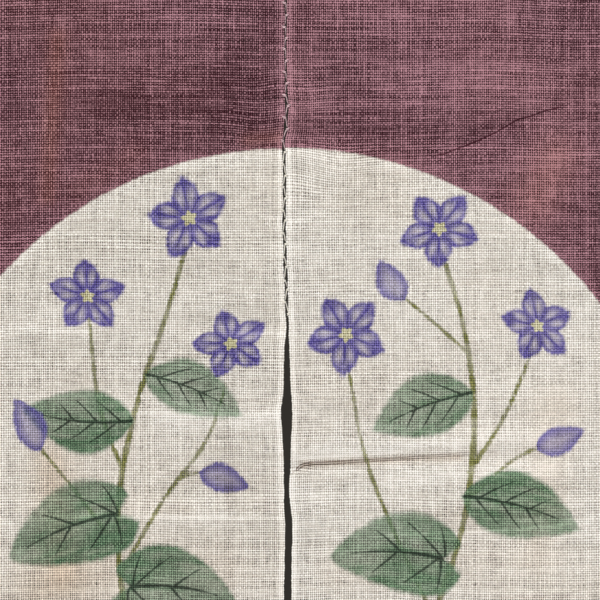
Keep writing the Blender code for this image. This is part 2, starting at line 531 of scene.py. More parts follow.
# Motifs. Places are in millimetres on the cloth: x to the right of the split, and depth from the top edge.

Point = tuple[float, float]

# Farther than any motif reaches, in millimetres
FAR = 1000.0


def to_segment(x: np.ndarray, y: np.ndarray, start: Point, end: Point) -> tuple[np.ndarray, np.ndarray]:
    """Measure from points to a straight stroke.

    Args:
        x: First coordinates.
        y: Second coordinates.
        start: Where the stroke starts.
        end: Where it ends.

    Returns:
        The distance to the stroke, and how far along it the nearest place is, from 0 to 1.
    """
    run_x, run_y = end[0] - start[0], end[1] - start[1]
    along = ((x - start[0]) * run_x + (y - start[1]) * run_y) / (run_x**2 + run_y**2)
    along = np.clip(along, 0.0, 1.0)
    return np.hypot(x - start[0] - along * run_x, y - start[1] - along * run_y), along


@dataclass(frozen=True)
class Lobe:
    """A pointed oval such as a leaf or a bud, painted in one press of the brush."""

    base: Point
    tip: Point
    half_width: float
    bend: float = 0.0

    @property
    def heart(self) -> float:
        """How heart-shaped the outline is, from 0 to 1."""
        return 0.0

    def local(self, x: np.ndarray, y: np.ndarray) -> tuple[np.ndarray, np.ndarray, float]:
        """Turn places into the lobe's own: along from base to tip, and across its bent middle line."""
        run_x, run_y = self.tip[0] - self.base[0], self.tip[1] - self.base[1]
        length = math.hypot(run_x, run_y)
        along = ((x - self.base[0]) * run_x + (y - self.base[1]) * run_y) / length
        across = ((x - self.base[0]) * -run_y + (y - self.base[1]) * run_x) / length
        part = np.clip(along / length, 0.0, 1.0)
        return along, across - self.bend * 4.0 * part * (1.0 - part), length

    def edge(self, x: np.ndarray, y: np.ndarray) -> np.ndarray:
        """Give the distance outside the lobe's outline, negative inside."""
        along, across, length = self.local(x, y)
        back = 0.17 * length * self.heart
        part = np.clip((along + back) / (length + back), 0.0, 1.0)
        # A stretched sine gives the oval, fuller towards its base on a heart, which also has a notch there
        swell = np.sin(math.pi * part ** (0.78 - 0.12 * self.heart))
        half = self.half_width * swell ** (0.85 - 0.15 * self.heart)
        beyond = np.maximum(np.maximum(-back - along, along - length), 0.0)
        off = np.abs(across) - half
        edge = np.hypot(beyond, np.maximum(off, 0.0)) + np.minimum(off, 0.0) * (beyond <= 0.0)
        notch = (-0.8 * along - np.abs(across)) * 0.78
        return np.maximum(edge, notch) if self.heart else edge


@dataclass(frozen=True)
class Leaf(Lobe):
    """A leaf. Tone is how pale its wash is, from 0 to 1. A low leaf is broad and heart-shaped."""

    tone: float = 0.5
    low: bool = False

    @property
    def heart(self) -> float:
        """Low leaves are heart-shaped."""
        return 1.0 if self.low else 0.0


@dataclass(frozen=True)
class Stem:
    """A stem: one brush stroke through a few points, broad at its root and thin at its end."""

    points: tuple[Point, ...]
    root_half: float
    end_half: float
    steps: int = 8

    def path(self) -> list[Point]:
        """Round the stroke through its points."""
        ends = (self.points[0],) + self.points + (self.points[-1],)
        line = []
        for a, b, c, d in zip(ends, ends[1:], ends[2:], ends[3:]):
            for step in range(self.steps):
                t = step / self.steps
                line.append(tuple(
                    0.5 * (2.0 * q + (r - p) * t + (2.0 * p - 5.0 * q + 4.0 * r - s) * t**2
                           + (3.0 * q - p - 3.0 * r + s) * t**3)
                    for p, q, r, s in zip(a, b, c, d)))
        return line + [self.points[-1]]

    def edge(self, x: np.ndarray, y: np.ndarray) -> np.ndarray:
        """Give the distance outside the stroke's edge."""
        line = self.path()
        nearest = np.full(np.broadcast(x, y).shape, FAR)
        for index, (start, end) in enumerate(zip(line, line[1:])):
            half = self.root_half + (self.end_half - self.root_half) * index / (len(line) - 1)
            nearest = np.minimum(nearest, to_segment(x, y, start, end)[0] - half)
        return nearest

    def off(self, x: np.ndarray, y: np.ndarray) -> np.ndarray:
        """Give the distance off the stroke's middle, with a minus on one side of it."""
        line = self.path()
        nearest = np.full(np.broadcast(x, y).shape, FAR)
        for start, end in zip(line, line[1:]):
            away, _ = to_segment(x, y, start, end)
            turn = (end[0] - start[0]) * (y - start[1]) - (end[1] - start[1]) * (x - start[0])
            nearest = np.where(away < np.abs(nearest), np.copysign(away, turn), nearest)
        return nearest


@dataclass(frozen=True)
class OpenBellflower:
    """A bellflower seen open: five pointed petals joined to half their length.

    The turn and the lean are in degrees. The squash narrows the flower along its lean, as it faces away.
    """

    centre: Point
    radius: float
    turn: float
    squash: float = 1.0
    lean: float = 0.0

    def local(self, x: np.ndarray, y: np.ndarray) -> tuple[np.ndarray, np.ndarray]:
        """Turn places into the flower's own, with its radius as 1 and a petal along the first coordinate."""
        lean, turn = math.radians(self.lean), math.radians(self.turn)
        right, down = (x - self.centre[0]) / self.radius, (y - self.centre[1]) / self.radius
        first = (right * math.cos(lean) + down * math.sin(lean)) / self.squash
        second = down * math.cos(lean) - right * math.sin(lean)
        return (first * math.cos(turn) + second * math.sin(turn),
                second * math.cos(turn) - first * math.sin(turn))


@dataclass(frozen=True)
class Spray:
    """What is painted on one panel."""

    stems: tuple[Stem, ...]
    leaves: tuple[Leaf, ...]
    flowers: tuple[OpenBellflower, ...]
    buds: tuple[Lobe, ...]


SPRAYS = {
    Side.LEFT: Spray(
        stems=(
            Stem(((-46, 668), (-66, 600), (-92, 520), (-101, 440), (-90, 372), (-73, 320), (-60, 276)),
                 2.3, 1.3),
            Stem(((-98, 470), (-72, 425), (-48, 392), (-36, 358)), 1.4, 0.9),
            Stem(((-98, 410), (-112, 370), (-118, 318)), 1.4, 0.9),
            Stem(((-102, 455), (-128, 420), (-149, 394)), 1.2, 0.8),
            Stem(((-66, 416), (-58, 412), (-50, 411)), 1.0, 0.8),
        ),
        leaves=(
            Leaf((-84, 352), (-26, 376), 16.0, -3.0, 0.60),
            Leaf((-92, 380), (-158, 372), 19.0, -4.0, 0.35),
            Leaf((-101, 436), (-166, 462), 25.0, 4.0, 0.45, True),
            Leaf((-94, 480), (-30, 488), 25.0, -4.0, 0.50, True),
            Leaf((-88, 530), (-156, 566), 25.0, 4.0, 0.40, True),
            Leaf((-76, 572), (-16, 590), 20.0, -4.0, 0.60),
            Leaf((-60, 624), (-110, 640), 14.0, 4.0, 0.40),
        ),
        flowers=(
            OpenBellflower((-58, 258), 27.0, 12.0, 0.95, 30.0),
            OpenBellflower((-119, 305), 25.0, 5.0, 0.90, 120.0),
            OpenBellflower((-33, 333), 24.5, 40.0, 0.88, 70.0),
        ),
        buds=(
            Lobe((-148, 397), (-163, 366), 9.5, 1.5),
            Lobe((-52, 411), (-22, 419), 8.5, -1.0),
        ),
    ),
    Side.RIGHT: Spray(
        stems=(
            Stem(((42, 668), (57, 600), (80, 520), (105, 446), (113, 380), (107, 325), (94, 280)),
                 2.3, 1.3),
            Stem(((88, 496), (62, 440), (46, 396), (37, 346)), 1.4, 0.9),
            Stem(((110, 410), (131, 376), (148, 336)), 1.4, 0.9),
            Stem(((109, 338), (86, 318), (69, 304)), 1.1, 0.8),
            Stem(((111, 424), (134, 404), (152, 394)), 1.1, 0.8),
        ),
        leaves=(
            Leaf((112, 362), (52, 386), 18.5, 3.0, 0.50),
            Leaf((106, 424), (176, 444), 20.0, -4.0, 0.35),
            Leaf((95, 462), (26, 462), 25.0, 4.0, 0.45, True),
            Leaf((81, 512), (150, 536), 25.0, -4.0, 0.50, True),
            Leaf((69, 556), (6, 580), 21.0, 4.0, 0.35),
            Leaf((59, 594), (114, 626), 17.0, -4.0, 0.60),
        ),
        flowers=(
            OpenBellflower((92, 264), 26.0, 30.0, 0.92, 60.0),
            OpenBellflower((36, 328), 26.5, 8.0, 0.96, 15.0),
            OpenBellflower((151, 322), 24.5, 50.0, 0.88, 140.0),
        ),
        buds=(
            Lobe((71, 307), (56, 283), 9.0, -1.5),
            Lobe((150, 395), (179, 384), 8.5, 1.0),
        ),
    ),
}

# A pulled thread, and a crease once pressed in, which shows as two thin dark lines side by side, painted
# shade in the crease with a brown, soiled tinge
PULLED_THREAD = Stem((
    (91.3, 219.4), (95.8, 219), (102.5, 216), (111.2, 212.8), (125.4, 206.3),
    (132.9, 201.9), (139.7, 198.2), (145.7, 196.7), (155.4, 193.3), (163, 191.5),
), 0.45, 0.45)
PRESSED_CREASE = Stem((
    (5, 409), (8, 406.8), (14, 405.7), (28, 405.2), (47, 403.9), (70, 402.2), (106, 398.8), (124, 396.9),
), 0.35, 0.35)

# Painted highlights: thin bright lines painted where a small ridge catches the light
BRIGHT_LINES = {
    Side.LEFT: (
        Stem(((-98, 375.6), (-60, 375.2), (-2, 374.6)), 0.5, 0.5),
        Stem(((-142, 326.0), (-118, 326.4)), 0.5, 0.5),
        Stem(((-30, 326.6), (-2, 326.2)), 0.5, 0.5),
        Stem(((-142, 436.4), (-80, 437.6), (-2, 436.8)), 0.5, 0.5),
    ),
    Side.RIGHT: (
        Stem(((8, 402.2), (30, 401.2), (66, 398.8)), 0.5, 0.5),
        Stem(((60, 448.5), (110, 445.5), (164, 442.0)), 0.5, 0.5),
    ),
}

# What bare cloth says of the leaves and lines, in millimetres, and of the flowers, in their radius. The third
# value of NO_FLOWER keeps the cloth just beside a flower out of its petals
BARE = 99.0
NO_FLOWER = (0.0, 0.0, 9.0)
FLOWER_MARGIN = 1.5

# How far off a bright line still matters, in millimetres
LINE_REACH = 5.0


@dataclass
class DyedPicture:
    """Works out, point by point, what the dye needs to know about the picture, in millimetres."""

    side: Side

    def thin_lines(self, x: np.ndarray, y: np.ndarray) -> np.ndarray:
        """Measure the distance off the thin lines: a pressed crease, painted highlight lines on small ridges,
        and a pulled thread.
        """
        offs = [np.full(x.shape, BARE)] * 3
        if self.side is Side.RIGHT:
            offs[0], offs[2] = PRESSED_CREASE.off(x, y), PULLED_THREAD.off(x, y)
        for item in BRIGHT_LINES[self.side]:
            off = item.off(x, y)
            offs[1] = np.where(np.abs(off) < np.minimum(np.abs(offs[1]), LINE_REACH), off, offs[1])
        return np.stack(offs, axis=-1)

    def measure(self, reach: np.ndarray, depth: np.ndarray) -> dict[str, np.ndarray]:
        """Measure every part of the picture.

        Args:
            reach: Flat distance from the split, in metres.
            depth: Flat distance down from the top edge, in metres.

        Returns:
            The attributes that the dye reads, each with three values a point.
        """
        x, y = self.side.value * reach / MM, depth / MM
        spray = SPRAYS[self.side]
        disc = np.hypot(x - DISC_X / MM, y - DISC_DEPTH / MM) - DISC_RADIUS / MM
        stem = np.minimum.reduce([item.edge(x, y) for item in spray.stems])
        bud = np.minimum.reduce([item.edge(x, y) for item in spray.buds])
        nothing = np.zeros(x.shape)
        leaf = np.full(x.shape, BARE)
        leaf_place = np.full(x.shape + (3,), BARE)
        leaf_wash = np.full(x.shape + (3,), BARE)
        for item in spray.leaves:
            edge = item.edge(x, y)
            along, across, length = item.local(x, y)
            nearer = (edge < leaf)[:, None]
            place = np.stack((along / length, across / item.half_width, nothing + item.heart), axis=-1)
            shaded = item.tone + 0.45 * (along / length - 0.45) + 0.012 * across
            leaf_place = np.where(nearer, place, leaf_place)
            leaf_wash = np.where(nearer, np.stack((edge, shaded, nothing), axis=-1), leaf_wash)
            leaf = np.minimum(leaf, edge)
        flower_place = np.tile(NO_FLOWER, (len(x), 1))
        for item in spray.flowers:
            first, second = item.local(x, y)
            near = (np.hypot(first, second) < FLOWER_MARGIN)[:, None]
            flower_place = np.where(near, np.stack((first, second, nothing), axis=-1), flower_place)
        return {
            "leaf_place": leaf_place,
            "leaf_wash": leaf_wash,
            "flower_place": flower_place,
            "dye_edges": np.stack((disc, stem, bud), axis=-1),
            "thin_lines": self.thin_lines(x, y),
        }


def linear(hex_colour: str) -> tuple[float, float, float, float]:
    """Turn an sRGB hex colour into linear red, green, blue and alpha."""
    parts = [int(hex_colour[i:i + 2], 16) / 255.0 for i in (1, 3, 5)]
    red, green, blue = (c / 12.92 if c <= 0.04045 else ((c + 0.055) / 1.055) ** 2.4 for c in parts)
    return red, green, blue, 1.0


Sockets = tuple[bpy.types.NodeSocket, ...]

# A colour Mix node has its factor first, and its two colours after five inputs of other kinds
COLOUR_SKIP = (None,) * 5


@dataclass
class NodeSheet:
    """A node tree that is filled one node at a time."""

    tree: bpy.types.NodeTree

    def put(self, kind: str, *feeds: object, out: int | str = 0, **settings: object) -> bpy.types.NodeSocket:
        """Add a node with its settings and links.

        Args:
            kind: The node's type.
            feeds: What goes into its inputs in order: a socket to link, a value to set, or None to skip.
            out: Which output to hand back.
            settings: Properties to set on the node. A dict named "named" feeds inputs by name.

        Returns:
            The chosen output.
        """
        node = self.tree.nodes.new(kind)
        named = settings.pop("named", {})
        for name, value in settings.items():
            setattr(node, name, value)
        pairs = [(node.inputs[index], feed) for index, feed in enumerate(feeds)]
        pairs += [(node.inputs[name], feed) for name, feed in named.items()]
        for socket, feed in pairs:
            if isinstance(feed, bpy.types.NodeSocket):
                self.tree.links.new(feed, socket)
            elif feed is not None:
                socket.default_value = feed
        return node.outputs[out] if node.outputs else None


@dataclass(frozen=True)
class DyeTone:
    """One dye as it looks down between the threads, darkened there as painted shade, and on top of them,
    lightened as a painted highlight where it also took less.
    """

    deep: str
    pale: str


@dataclass(frozen=True)
class VeinPair:
    """Two side veins: where they leave the midrib, their slope, and how far out they go."""

    root: float
    slope: float
    spread: float


# Veins in millimetres, on a leaf of the usual size. Each pair: on an upper leaf, and on a low one
LEAF_LENGTH = 66.0
LEAF_HALF_WIDTH = 20.0
MIDRIB_LENGTH = 54.0
VEIN_STAGGER = 1.2
VEIN_CURL = 0.016
SIDE_VEINS = (
    (VeinPair(8.0, 0.95, 13.5), VeinPair(1.0, -0.10, 15.0)),
    (VeinPair(22.0, 0.85, 13.0), VeinPair(2.0, 1.15, 14.5)),
    (VeinPair(36.0, 0.85, 9.5), VeinPair(26.0, 1.25, 10.0)),
)

# An open flower of the usual size, in millimetres, and its petals as parts of its radius
FLOWER_RADIUS = 26.0
PETAL_ANGLE = 2.0 * math.pi / 5.0
PETAL_JOINED_TO = 0.55
PETAL_POINT = 0.42
LINES_END_AT = 0.80
HEART_RADIUS = 0.11


@dataclass(frozen=True)
class DyedHemp:
    """Open plain-weave hemp, hand spun and brush dyed: matt, uneven threads with holes between them.

    The threads are 1.3 to 1.5 mm apart, as on the real cloth, so the weave is drawn at its true scale.
    Widths are parts of that distance. High places are painted paler and low places darker, a painted
    highlight on the tops and painted shade between the threads, and a top also took less dye than what lies
    under it.
    """

    ground: DyeTone = DyeTone("#300b17", "#bd8e9c")
    red_ground: DyeTone = DyeTone("#4f2320", "#c28c86")
    disc: DyeTone = DyeTone("#c9c2b9", "#fffefc")
    soiled_disc: DyeTone = DyeTone("#b8a490", "#fbe9d6")
    leaf_green: DyeTone = DyeTone("#32533c", "#90ae90")
    vein: DyeTone = DyeTone("#0c1410", "#34463b")
    stem: DyeTone = DyeTone("#4c5226", "#a2a266")
    petal: DyeTone = DyeTone("#33297c", "#8f86c8")
    petal_line: DyeTone = DyeTone("#1f1560", "#5c50a8")
    heart: DyeTone = DyeTone("#a8a46c", "#f2efd2")
    # The pressed crease's lines: painted shade with a soiled brown tinge
    crease_line: DyeTone = DyeTone("#3f2d24", "#97806f")
    pulled_line: DyeTone = DyeTone("#2a0c16", "#5c2c3a")
    seam_shade: str = "#1a0d0e"
    warp_half: float = 0.285
    weft_half: float = 0.265
    warp_tones: float = 0.85
    weft_tones: float = 1.7
    stray: float = 0.18
    width_choice: float = 0.14
    slub: float = 0.54
    slub_turns: float = 0.11
    streak_turns: float = 0.026
    wave_rise: float = 0.30
    top_contrast: float = 2.30
    paleness: float = -1.17
    wash_scale: float = 55.0
    brush_scale: float = 75.0
    band_scale: float = 110.0
    wander_scale: float = 130.0
    halo_width: float = 8.0
    loop_length: float = 0.00035
    roughness: float = 0.9

    def threads(self, sheet: NodeSheet, along: bpy.types.NodeSocket, crossing: bpy.types.NodeSocket,
                half: float, seed: float, tones: float,
                extra: bpy.types.NodeSocket) -> dict[str, bpy.types.NodeSocket]:
        """Draw one set of parallel threads.

        Args:
            sheet: The tree to fill.
            along: Thread number, growing across the threads.
            crossing: Number of the threads that cross these, growing along them.
            half: Half of a thread's usual width.
            seed: Tells the two sets apart.
            tones: How much the threads differ in tone.
            extra: Width to add to that half.

        Returns:
            The thread's whole number, its cover, its roundness, its tone, how near its middle line is, and
            a chance of its own from 0 to 1.
        """
        put = sheet.put
        number = put("ShaderNodeMath", along, operation="FLOOR")
        part = put("ShaderNodeMath", along, operation="FRACT")
        part = put("ShaderNodeMath", part, 0.5, operation="SUBTRACT")
        dice = put("ShaderNodeCombineXYZ", number, seed, 0.0)
        dice = put("ShaderNodeTexWhiteNoise", dice, out="Color", noise_dimensions="3D")
        chance, choice, shade = put("ShaderNodeSeparateXYZ", dice).node.outputs

        # Slow noise along each thread, in a place of its own: first its width, then its tone
        drifts = []
        for spread, turns, place in ((5.37, self.slub_turns, seed), (7.31, self.streak_turns, seed + 3.0)):
            own = put("ShaderNodeMath", number, spread, operation="MULTIPLY")
            run = put("ShaderNodeMath", crossing, turns, operation="MULTIPLY")
            drifts.append(put("ShaderNodeTexNoise", put("ShaderNodeCombineXYZ", own, run, place),
                              named={"Scale": 1.0, "Detail": 1.0}, noise_dimensions="3D"))
        slub, streak = drifts

        shift = put("ShaderNodeMath", chance, self.stray, -self.stray / 2.0, operation="MULTIPLY_ADD")
        off = put("ShaderNodeMath", part, shift, operation="ADD")
        off = put("ShaderNodeMath", off, operation="ABSOLUTE")
        thinnest = half - self.width_choice / 2.0 - self.slub / 2.0
        width = put("ShaderNodeMath", choice, self.width_choice, thinnest, operation="MULTIPLY_ADD")
        width = put("ShaderNodeMath", slub, self.slub, width, operation="MULTIPLY_ADD")
        width = put("ShaderNodeMath", width, extra, operation="ADD")
        from_middle = put("ShaderNodeMath", off, width, operation="DIVIDE")
        cover = put("ShaderNodeMapRange", from_middle, 1.15, 0.85, 0.0, 1.0, interpolation_type="SMOOTHSTEP")
        round_top = put("ShaderNodeMath", from_middle, 2.0, operation="POWER")
        round_top = put("ShaderNodeMath", round_top, -1.0, 1.0, operation="MULTIPLY_ADD")
        near = put("ShaderNodeMath", part, math.pi, operation="MULTIPLY")
        near = put("ShaderNodeMath", near, operation="COSINE")
        tone = put("ShaderNodeMath", shade, 0.2, streak, operation="MULTIPLY_ADD")
        tone = put("ShaderNodeMath", tone, 0.6, operation="SUBTRACT")
        tone = put("ShaderNodeMath", tone, tones, operation="MULTIPLY")
        return {"number": number, "cover": cover, "round": round_top, "tone": tone, "near": near,
                "chance": chance}

    def weave(self, sheet: NodeSheet, parts: dict[str, Sockets]) -> dict[str, bpy.types.NodeSocket]:
        """Cross the two sets of threads.

        Args:
            sheet: The tree to fill.
            parts: The panel's attributes, three numbers each.

        Returns:
            The cloth's height and cover, the tone and the chance of the thread on top, a chance for each
            crossing, and how far from the selvedge the picks' loops end.
        """
        put = sheet.put
        ends, picks, looseness = parts["threads"]
        selvedge = parts["cloth"][2]
        thin = put("ShaderNodeMath", looseness, -0.07, operation="MULTIPLY")
        firm = put("ShaderNodeMath", selvedge, 0.15, thin, operation="MULTIPLY_ADD")
        warp = self.threads(sheet, ends, picks, self.warp_half, 1.0, self.warp_tones, firm)
        firm = put("ShaderNodeMath", selvedge, 0.14, operation="MULTIPLY")
        weft = self.threads(sheet, picks, ends, self.weft_half, 2.0, self.weft_tones, firm)

        # Over and under: each thread rises over every other one that it crosses, and dips under the next
        parity = put("ShaderNodeMath", warp["number"], weft["number"], operation="ADD")
        parity = put("ShaderNodeMath", parity, 2.0, operation="FLOORED_MODULO")
        parity = put("ShaderNodeMath", parity, 2.0, -1.0, operation="MULTIPLY_ADD")
        heights = []
        for own, other, lift in ((warp, weft, self.wave_rise), (weft, warp, -self.wave_rise)):
            wave = put("ShaderNodeMath", parity, other["near"], operation="MULTIPLY")
            top = put("ShaderNodeMath", own["round"], 0.40, 0.30, operation="MULTIPLY_ADD")
            height = put("ShaderNodeMath", wave, lift, top, operation="MULTIPLY_ADD")
            heights.append(put("ShaderNodeMath", height, own["cover"], operation="MULTIPLY"))
        warp_on_top = put("ShaderNodeMath", heights[0], heights[1], operation="GREATER_THAN")
        tone, chance = (put("ShaderNodeMix", warp_on_top, None, weft[key], warp[key], data_type="FLOAT")
                        for key in ("tone", "chance"))
        numbers = put("ShaderNodeCombineXYZ", warp["number"], weft["number"], 0.0)
        loop = put("ShaderNodeMath", weft["chance"], self.loop_length, 0.0002, operation="MULTIPLY_ADD")
        return {
            "high": put("ShaderNodeMath", heights[0], heights[1], operation="MAXIMUM"),
            "cover": put("ShaderNodeMath", warp["cover"], weft["cover"], operation="MAXIMUM"),
            "tone": tone,
            "chance": chance,
            "crossing": put("ShaderNodeTexWhiteNoise", numbers, noise_dimensions="3D"),
            "loops": put("ShaderNodeMath", weft["near"], -0.00025, loop, operation="MULTIPLY_ADD"),
        }

    def leaf(self, sheet: NodeSheet, parts: dict[str, Sockets], brushed: bpy.types.NodeSocket) -> Sockets:
        """Paint the leaves: a wash that runs along each, and dark curved veins in single strokes.

        Args:
            sheet: The tree to fill.
            parts: The panel's attributes, three numbers each.
            brushed: Noise that varies the dye.

        Returns:
            The distance outside the leaf, how full its wash is, and the distance outside its veins.
        """
        put = sheet.put
        along, across, low = parts["leaf_place"]
        edge, tone, _ = parts["leaf_wash"]
        drag = put("ShaderNodeTexNoise", put(
            "ShaderNodeCombineXYZ", put("ShaderNodeMath", along, 1.6, operation="MULTIPLY"),
            put("ShaderNodeMath", across, 5.0, operation="MULTIPLY"), tone),
            named={"Scale": 1.0, "Detail": 3.0}, noise_dimensions="3D")
        full = put("ShaderNodeMath", tone, -0.40, 1.50, operation="MULTIPLY_ADD")
        full = put("ShaderNodeMath", brushed, -0.40, full, operation="MULTIPLY_ADD")
        full = put("ShaderNodeMath", drag, -0.55, full, operation="MULTIPLY_ADD")
        rim = put("ShaderNodeMapRange", edge, -3.0, 0.2, 0.0, 0.12)
        full = put("ShaderNodeMath", full, rim, operation="ADD", use_clamp=True)

        side = put("ShaderNodeMath", across, operation="SIGN")
        side = put("ShaderNodeMath", side, VEIN_STAGGER, operation="MULTIPLY")
        off = put("ShaderNodeMath", across, LEAF_HALF_WIDTH, operation="MULTIPLY")
        off = put("ShaderNodeMath", off, operation="ABSOLUTE")
        run = put("ShaderNodeMath", along, LEAF_LENGTH, operation="MULTIPLY")
        curl = put("ShaderNodeMath", off, 2.0, operation="POWER")
        curl = put("ShaderNodeMath", curl, -VEIN_CURL, operation="MULTIPLY")
        curved = put("ShaderNodeMath", run, side, operation="ADD")
        curved = put("ShaderNodeMath", curved, curl, operation="ADD")
        half = put("ShaderNodeMapRange", run, 0.0, MIDRIB_LENGTH, 1.05, 0.30)
        nearest = put("ShaderNodeMath", off, half, operation="SUBTRACT")
        past_tip = put("ShaderNodeMath", run, MIDRIB_LENGTH, operation="SUBTRACT")
        before_base = put("ShaderNodeMath", run, -1.0, -2.0, operation="MULTIPLY_ADD")
        for limit in (past_tip, before_base):
            nearest = put("ShaderNodeMath", nearest, limit, operation="MAXIMUM")
        for upper, lower in SIDE_VEINS:
            root, slope, spread = (
                put("ShaderNodeMapRange", low, 0.0, 1.0, getattr(upper, size), getattr(lower, size))
                for size in ("root", "slope", "spread"))
            beside = put("ShaderNodeMath", curved, root, operation="SUBTRACT")
            climb = put("ShaderNodeMath", off, slope, operation="MULTIPLY")
            beside = put("ShaderNodeMath", beside, climb, operation="SUBTRACT")
            beside = put("ShaderNodeMath", beside, operation="ABSOLUTE")
            level = put("ShaderNodeMath", slope, slope, 1.0, operation="MULTIPLY_ADD")
            level = put("ShaderNodeMath", level, operation="SQRT")
            beside = put("ShaderNodeMath", beside, level, operation="DIVIDE")
            reached = put("ShaderNodeMath", off, spread, operation="DIVIDE")
            taper = put("ShaderNodeMapRange", reached, 0.0, 1.0, 0.80, 0.35)
            stroke = put("ShaderNodeMath", beside, taper, operation="SUBTRACT")
            past_end = put("ShaderNodeMath", off, spread, operation="SUBTRACT")
            stroke = put("ShaderNodeMath", stroke, past_end, operation="MAXIMUM")
            nearest = put("ShaderNodeMath", nearest, stroke, operation="MINIMUM")
        inside = put("ShaderNodeMath", edge, 0.6, operation="ADD")
        return edge, full, put("ShaderNodeMath", nearest, inside, operation="MAXIMUM")

    def petals(self, sheet: NodeSheet, brushed: bpy.types.NodeSocket) -> dict[str, bpy.types.NodeSocket]:
        """Paint the open flowers: five joined petals, dark at the rim and streaked by the brush.

        Args:
            sheet: The tree to fill.
            brushed: Noise that varies the dye.

        Returns:
            The distance outside the petals, outside their darker lines and outside the heart, in millimetres
            on a flower of the usual size, and how full the wash is.
        """
        put = sheet.put
        place = put("ShaderNodeAttribute", attribute_name="flower_place", out="Vector")
        first, second, _ = put("ShaderNodeSeparateXYZ", place).node.outputs
        away = put("ShaderNodeVectorMath", place, operation="LENGTH", out="Value")
        angle = put("ShaderNodeMath", second, first, operation="ARCTAN2")
        petal = put("ShaderNodeMath", angle, PETAL_ANGLE, operation="DIVIDE")
        whole = put("ShaderNodeMath", petal, operation="ROUND")
        wide = put("ShaderNodeMath", petal, whole, operation="SUBTRACT")
        wide = put("ShaderNodeMath", wide, operation="ABSOLUTE")
        close = put("ShaderNodeMath", wide, -2.0, 1.0, operation="MULTIPLY_ADD", use_clamp=True)
        outline = put("ShaderNodeMath", close, 0.85, operation="POWER")
        outline = put("ShaderNodeMath", outline, PETAL_POINT, PETAL_JOINED_TO, operation="MULTIPLY_ADD")
        edge = put("ShaderNodeMath", away, outline, operation="SUBTRACT")
        edge = put("ShaderNodeMath", edge, FLOWER_RADIUS * 0.8, operation="MULTIPLY")

        # Distance off the petal's middle line, and off the join with the next petal
        middle = put("ShaderNodeMath", wide, away, operation="MULTIPLY")
        middle = put("ShaderNodeMath", middle, PETAL_ANGLE * FLOWER_RADIUS, operation="MULTIPLY")
        thin = put("ShaderNodeMapRange", away, 0.2, 0.85, 0.55, 0.15)
        middle = put("ShaderNodeMath", middle, thin, operation="SUBTRACT")
        past_end = put("ShaderNodeMath", away, FLOWER_RADIUS, -LINES_END_AT * FLOWER_RADIUS,
                       operation="MULTIPLY_ADD")
        middle = put("ShaderNodeMath", middle, past_end, operation="MAXIMUM")
        join = put("ShaderNodeMath", 0.5, wide, operation="SUBTRACT")
        join = put("ShaderNodeMath", join, away, operation="MULTIPLY")
        join = put("ShaderNodeMath", join, PETAL_ANGLE * FLOWER_RADIUS, operation="MULTIPLY")
        join = put("ShaderNodeMath", join, 0.40, operation="SUBTRACT")
        line = put("ShaderNodeMath", middle, join, operation="MINIMUM")
        inside = put("ShaderNodeMath", edge, 0.4, operation="ADD")
        line = put("ShaderNodeMath", line, inside, operation="MAXIMUM")
        heart = put("ShaderNodeMath", close, -0.08, away, operation="MULTIPLY_ADD")
        heart = put("ShaderNodeMath", heart, FLOWER_RADIUS, -HEART_RADIUS * FLOWER_RADIUS,
                    operation="MULTIPLY_ADD")

        drag = put("ShaderNodeTexNoise", put(
            "ShaderNodeCombineXYZ", put("ShaderNodeMath", petal, 9.0, operation="MULTIPLY"),
            put("ShaderNodeMath", away, 2.2, operation="MULTIPLY"), 0.0),
            named={"Scale": 1.0, "Detail": 2.0}, noise_dimensions="3D")
        glows = []
        for value, centre, start, end in ((away, 0.50, 0.30, 0.0), (close, 0.58, 0.42, 0.05)):
            off = put("ShaderNodeMath", value, centre, operation="SUBTRACT")
            off = put("ShaderNodeMath", off, operation="ABSOLUTE")
            glows.append(put("ShaderNodeMapRange", off, start, end, 0.0, 1.0,
                             interpolation_type="SMOOTHSTEP"))
        light = put("ShaderNodeMath", *glows, operation="MULTIPLY")
        full = put("ShaderNodeMath", light, -0.50, 1.36, operation="MULTIPLY_ADD")
        full = put("ShaderNodeMath", drag, -0.60, full, operation="MULTIPLY_ADD")
        full = put("ShaderNodeMath", brushed, -0.25, full, operation="MULTIPLY_ADD")
        rim = put("ShaderNodeMapRange", edge, -2.6, -0.2, 0.0, 0.16)
        full = put("ShaderNodeMath", full, rim, operation="ADD", use_clamp=True)
        return {"edge": edge, "line": line, "heart": heart, "full": full}

    def tops(self, sheet: NodeSheet, parts: dict[str, Sockets], woven: dict[str, bpy.types.NodeSocket],
             ridge: bpy.types.NodeSocket) -> bpy.types.NodeSocket:
        """Work out how pale each spot is: high on its thread, as painted highlight on the tops and painted
        shade below them, on a pale thread, in a pale part of the wash.

        Args:
            sheet: The tree to fill.
            parts: The panel's attributes, three numbers each.
            woven: What the weave gave.
            ridge: How bright the painted highlight lines on the small ridges are.

        Returns:
            The paleness, from 0 to 1.
        """
        put = sheet.put
        reach, depth, selvedge = parts["cloth"]
        from_disc = parts["dye_edges"][0]
        wash = put("ShaderNodeTexNoise", put("ShaderNodeCombineXYZ", reach, depth, 0.0),
                   named={"Scale": self.wash_scale, "Detail": 3.0, "Roughness": 0.6}, noise_dimensions="3D")
        drawn_out = put("ShaderNodeMath", reach, 0.15, operation="MULTIPLY")
        bands = put("ShaderNodeTexNoise", put("ShaderNodeCombineXYZ", drawn_out, depth, 0.0),
                    named={"Scale": self.band_scale, "Detail": 3.0}, noise_dimensions="3D")
        uneven_parts = ((woven["crossing"], 0.36), (wash, 0.36), (bands, 0.60))
        level = self.paleness - sum(amount for _, amount in uneven_parts) / 2.0
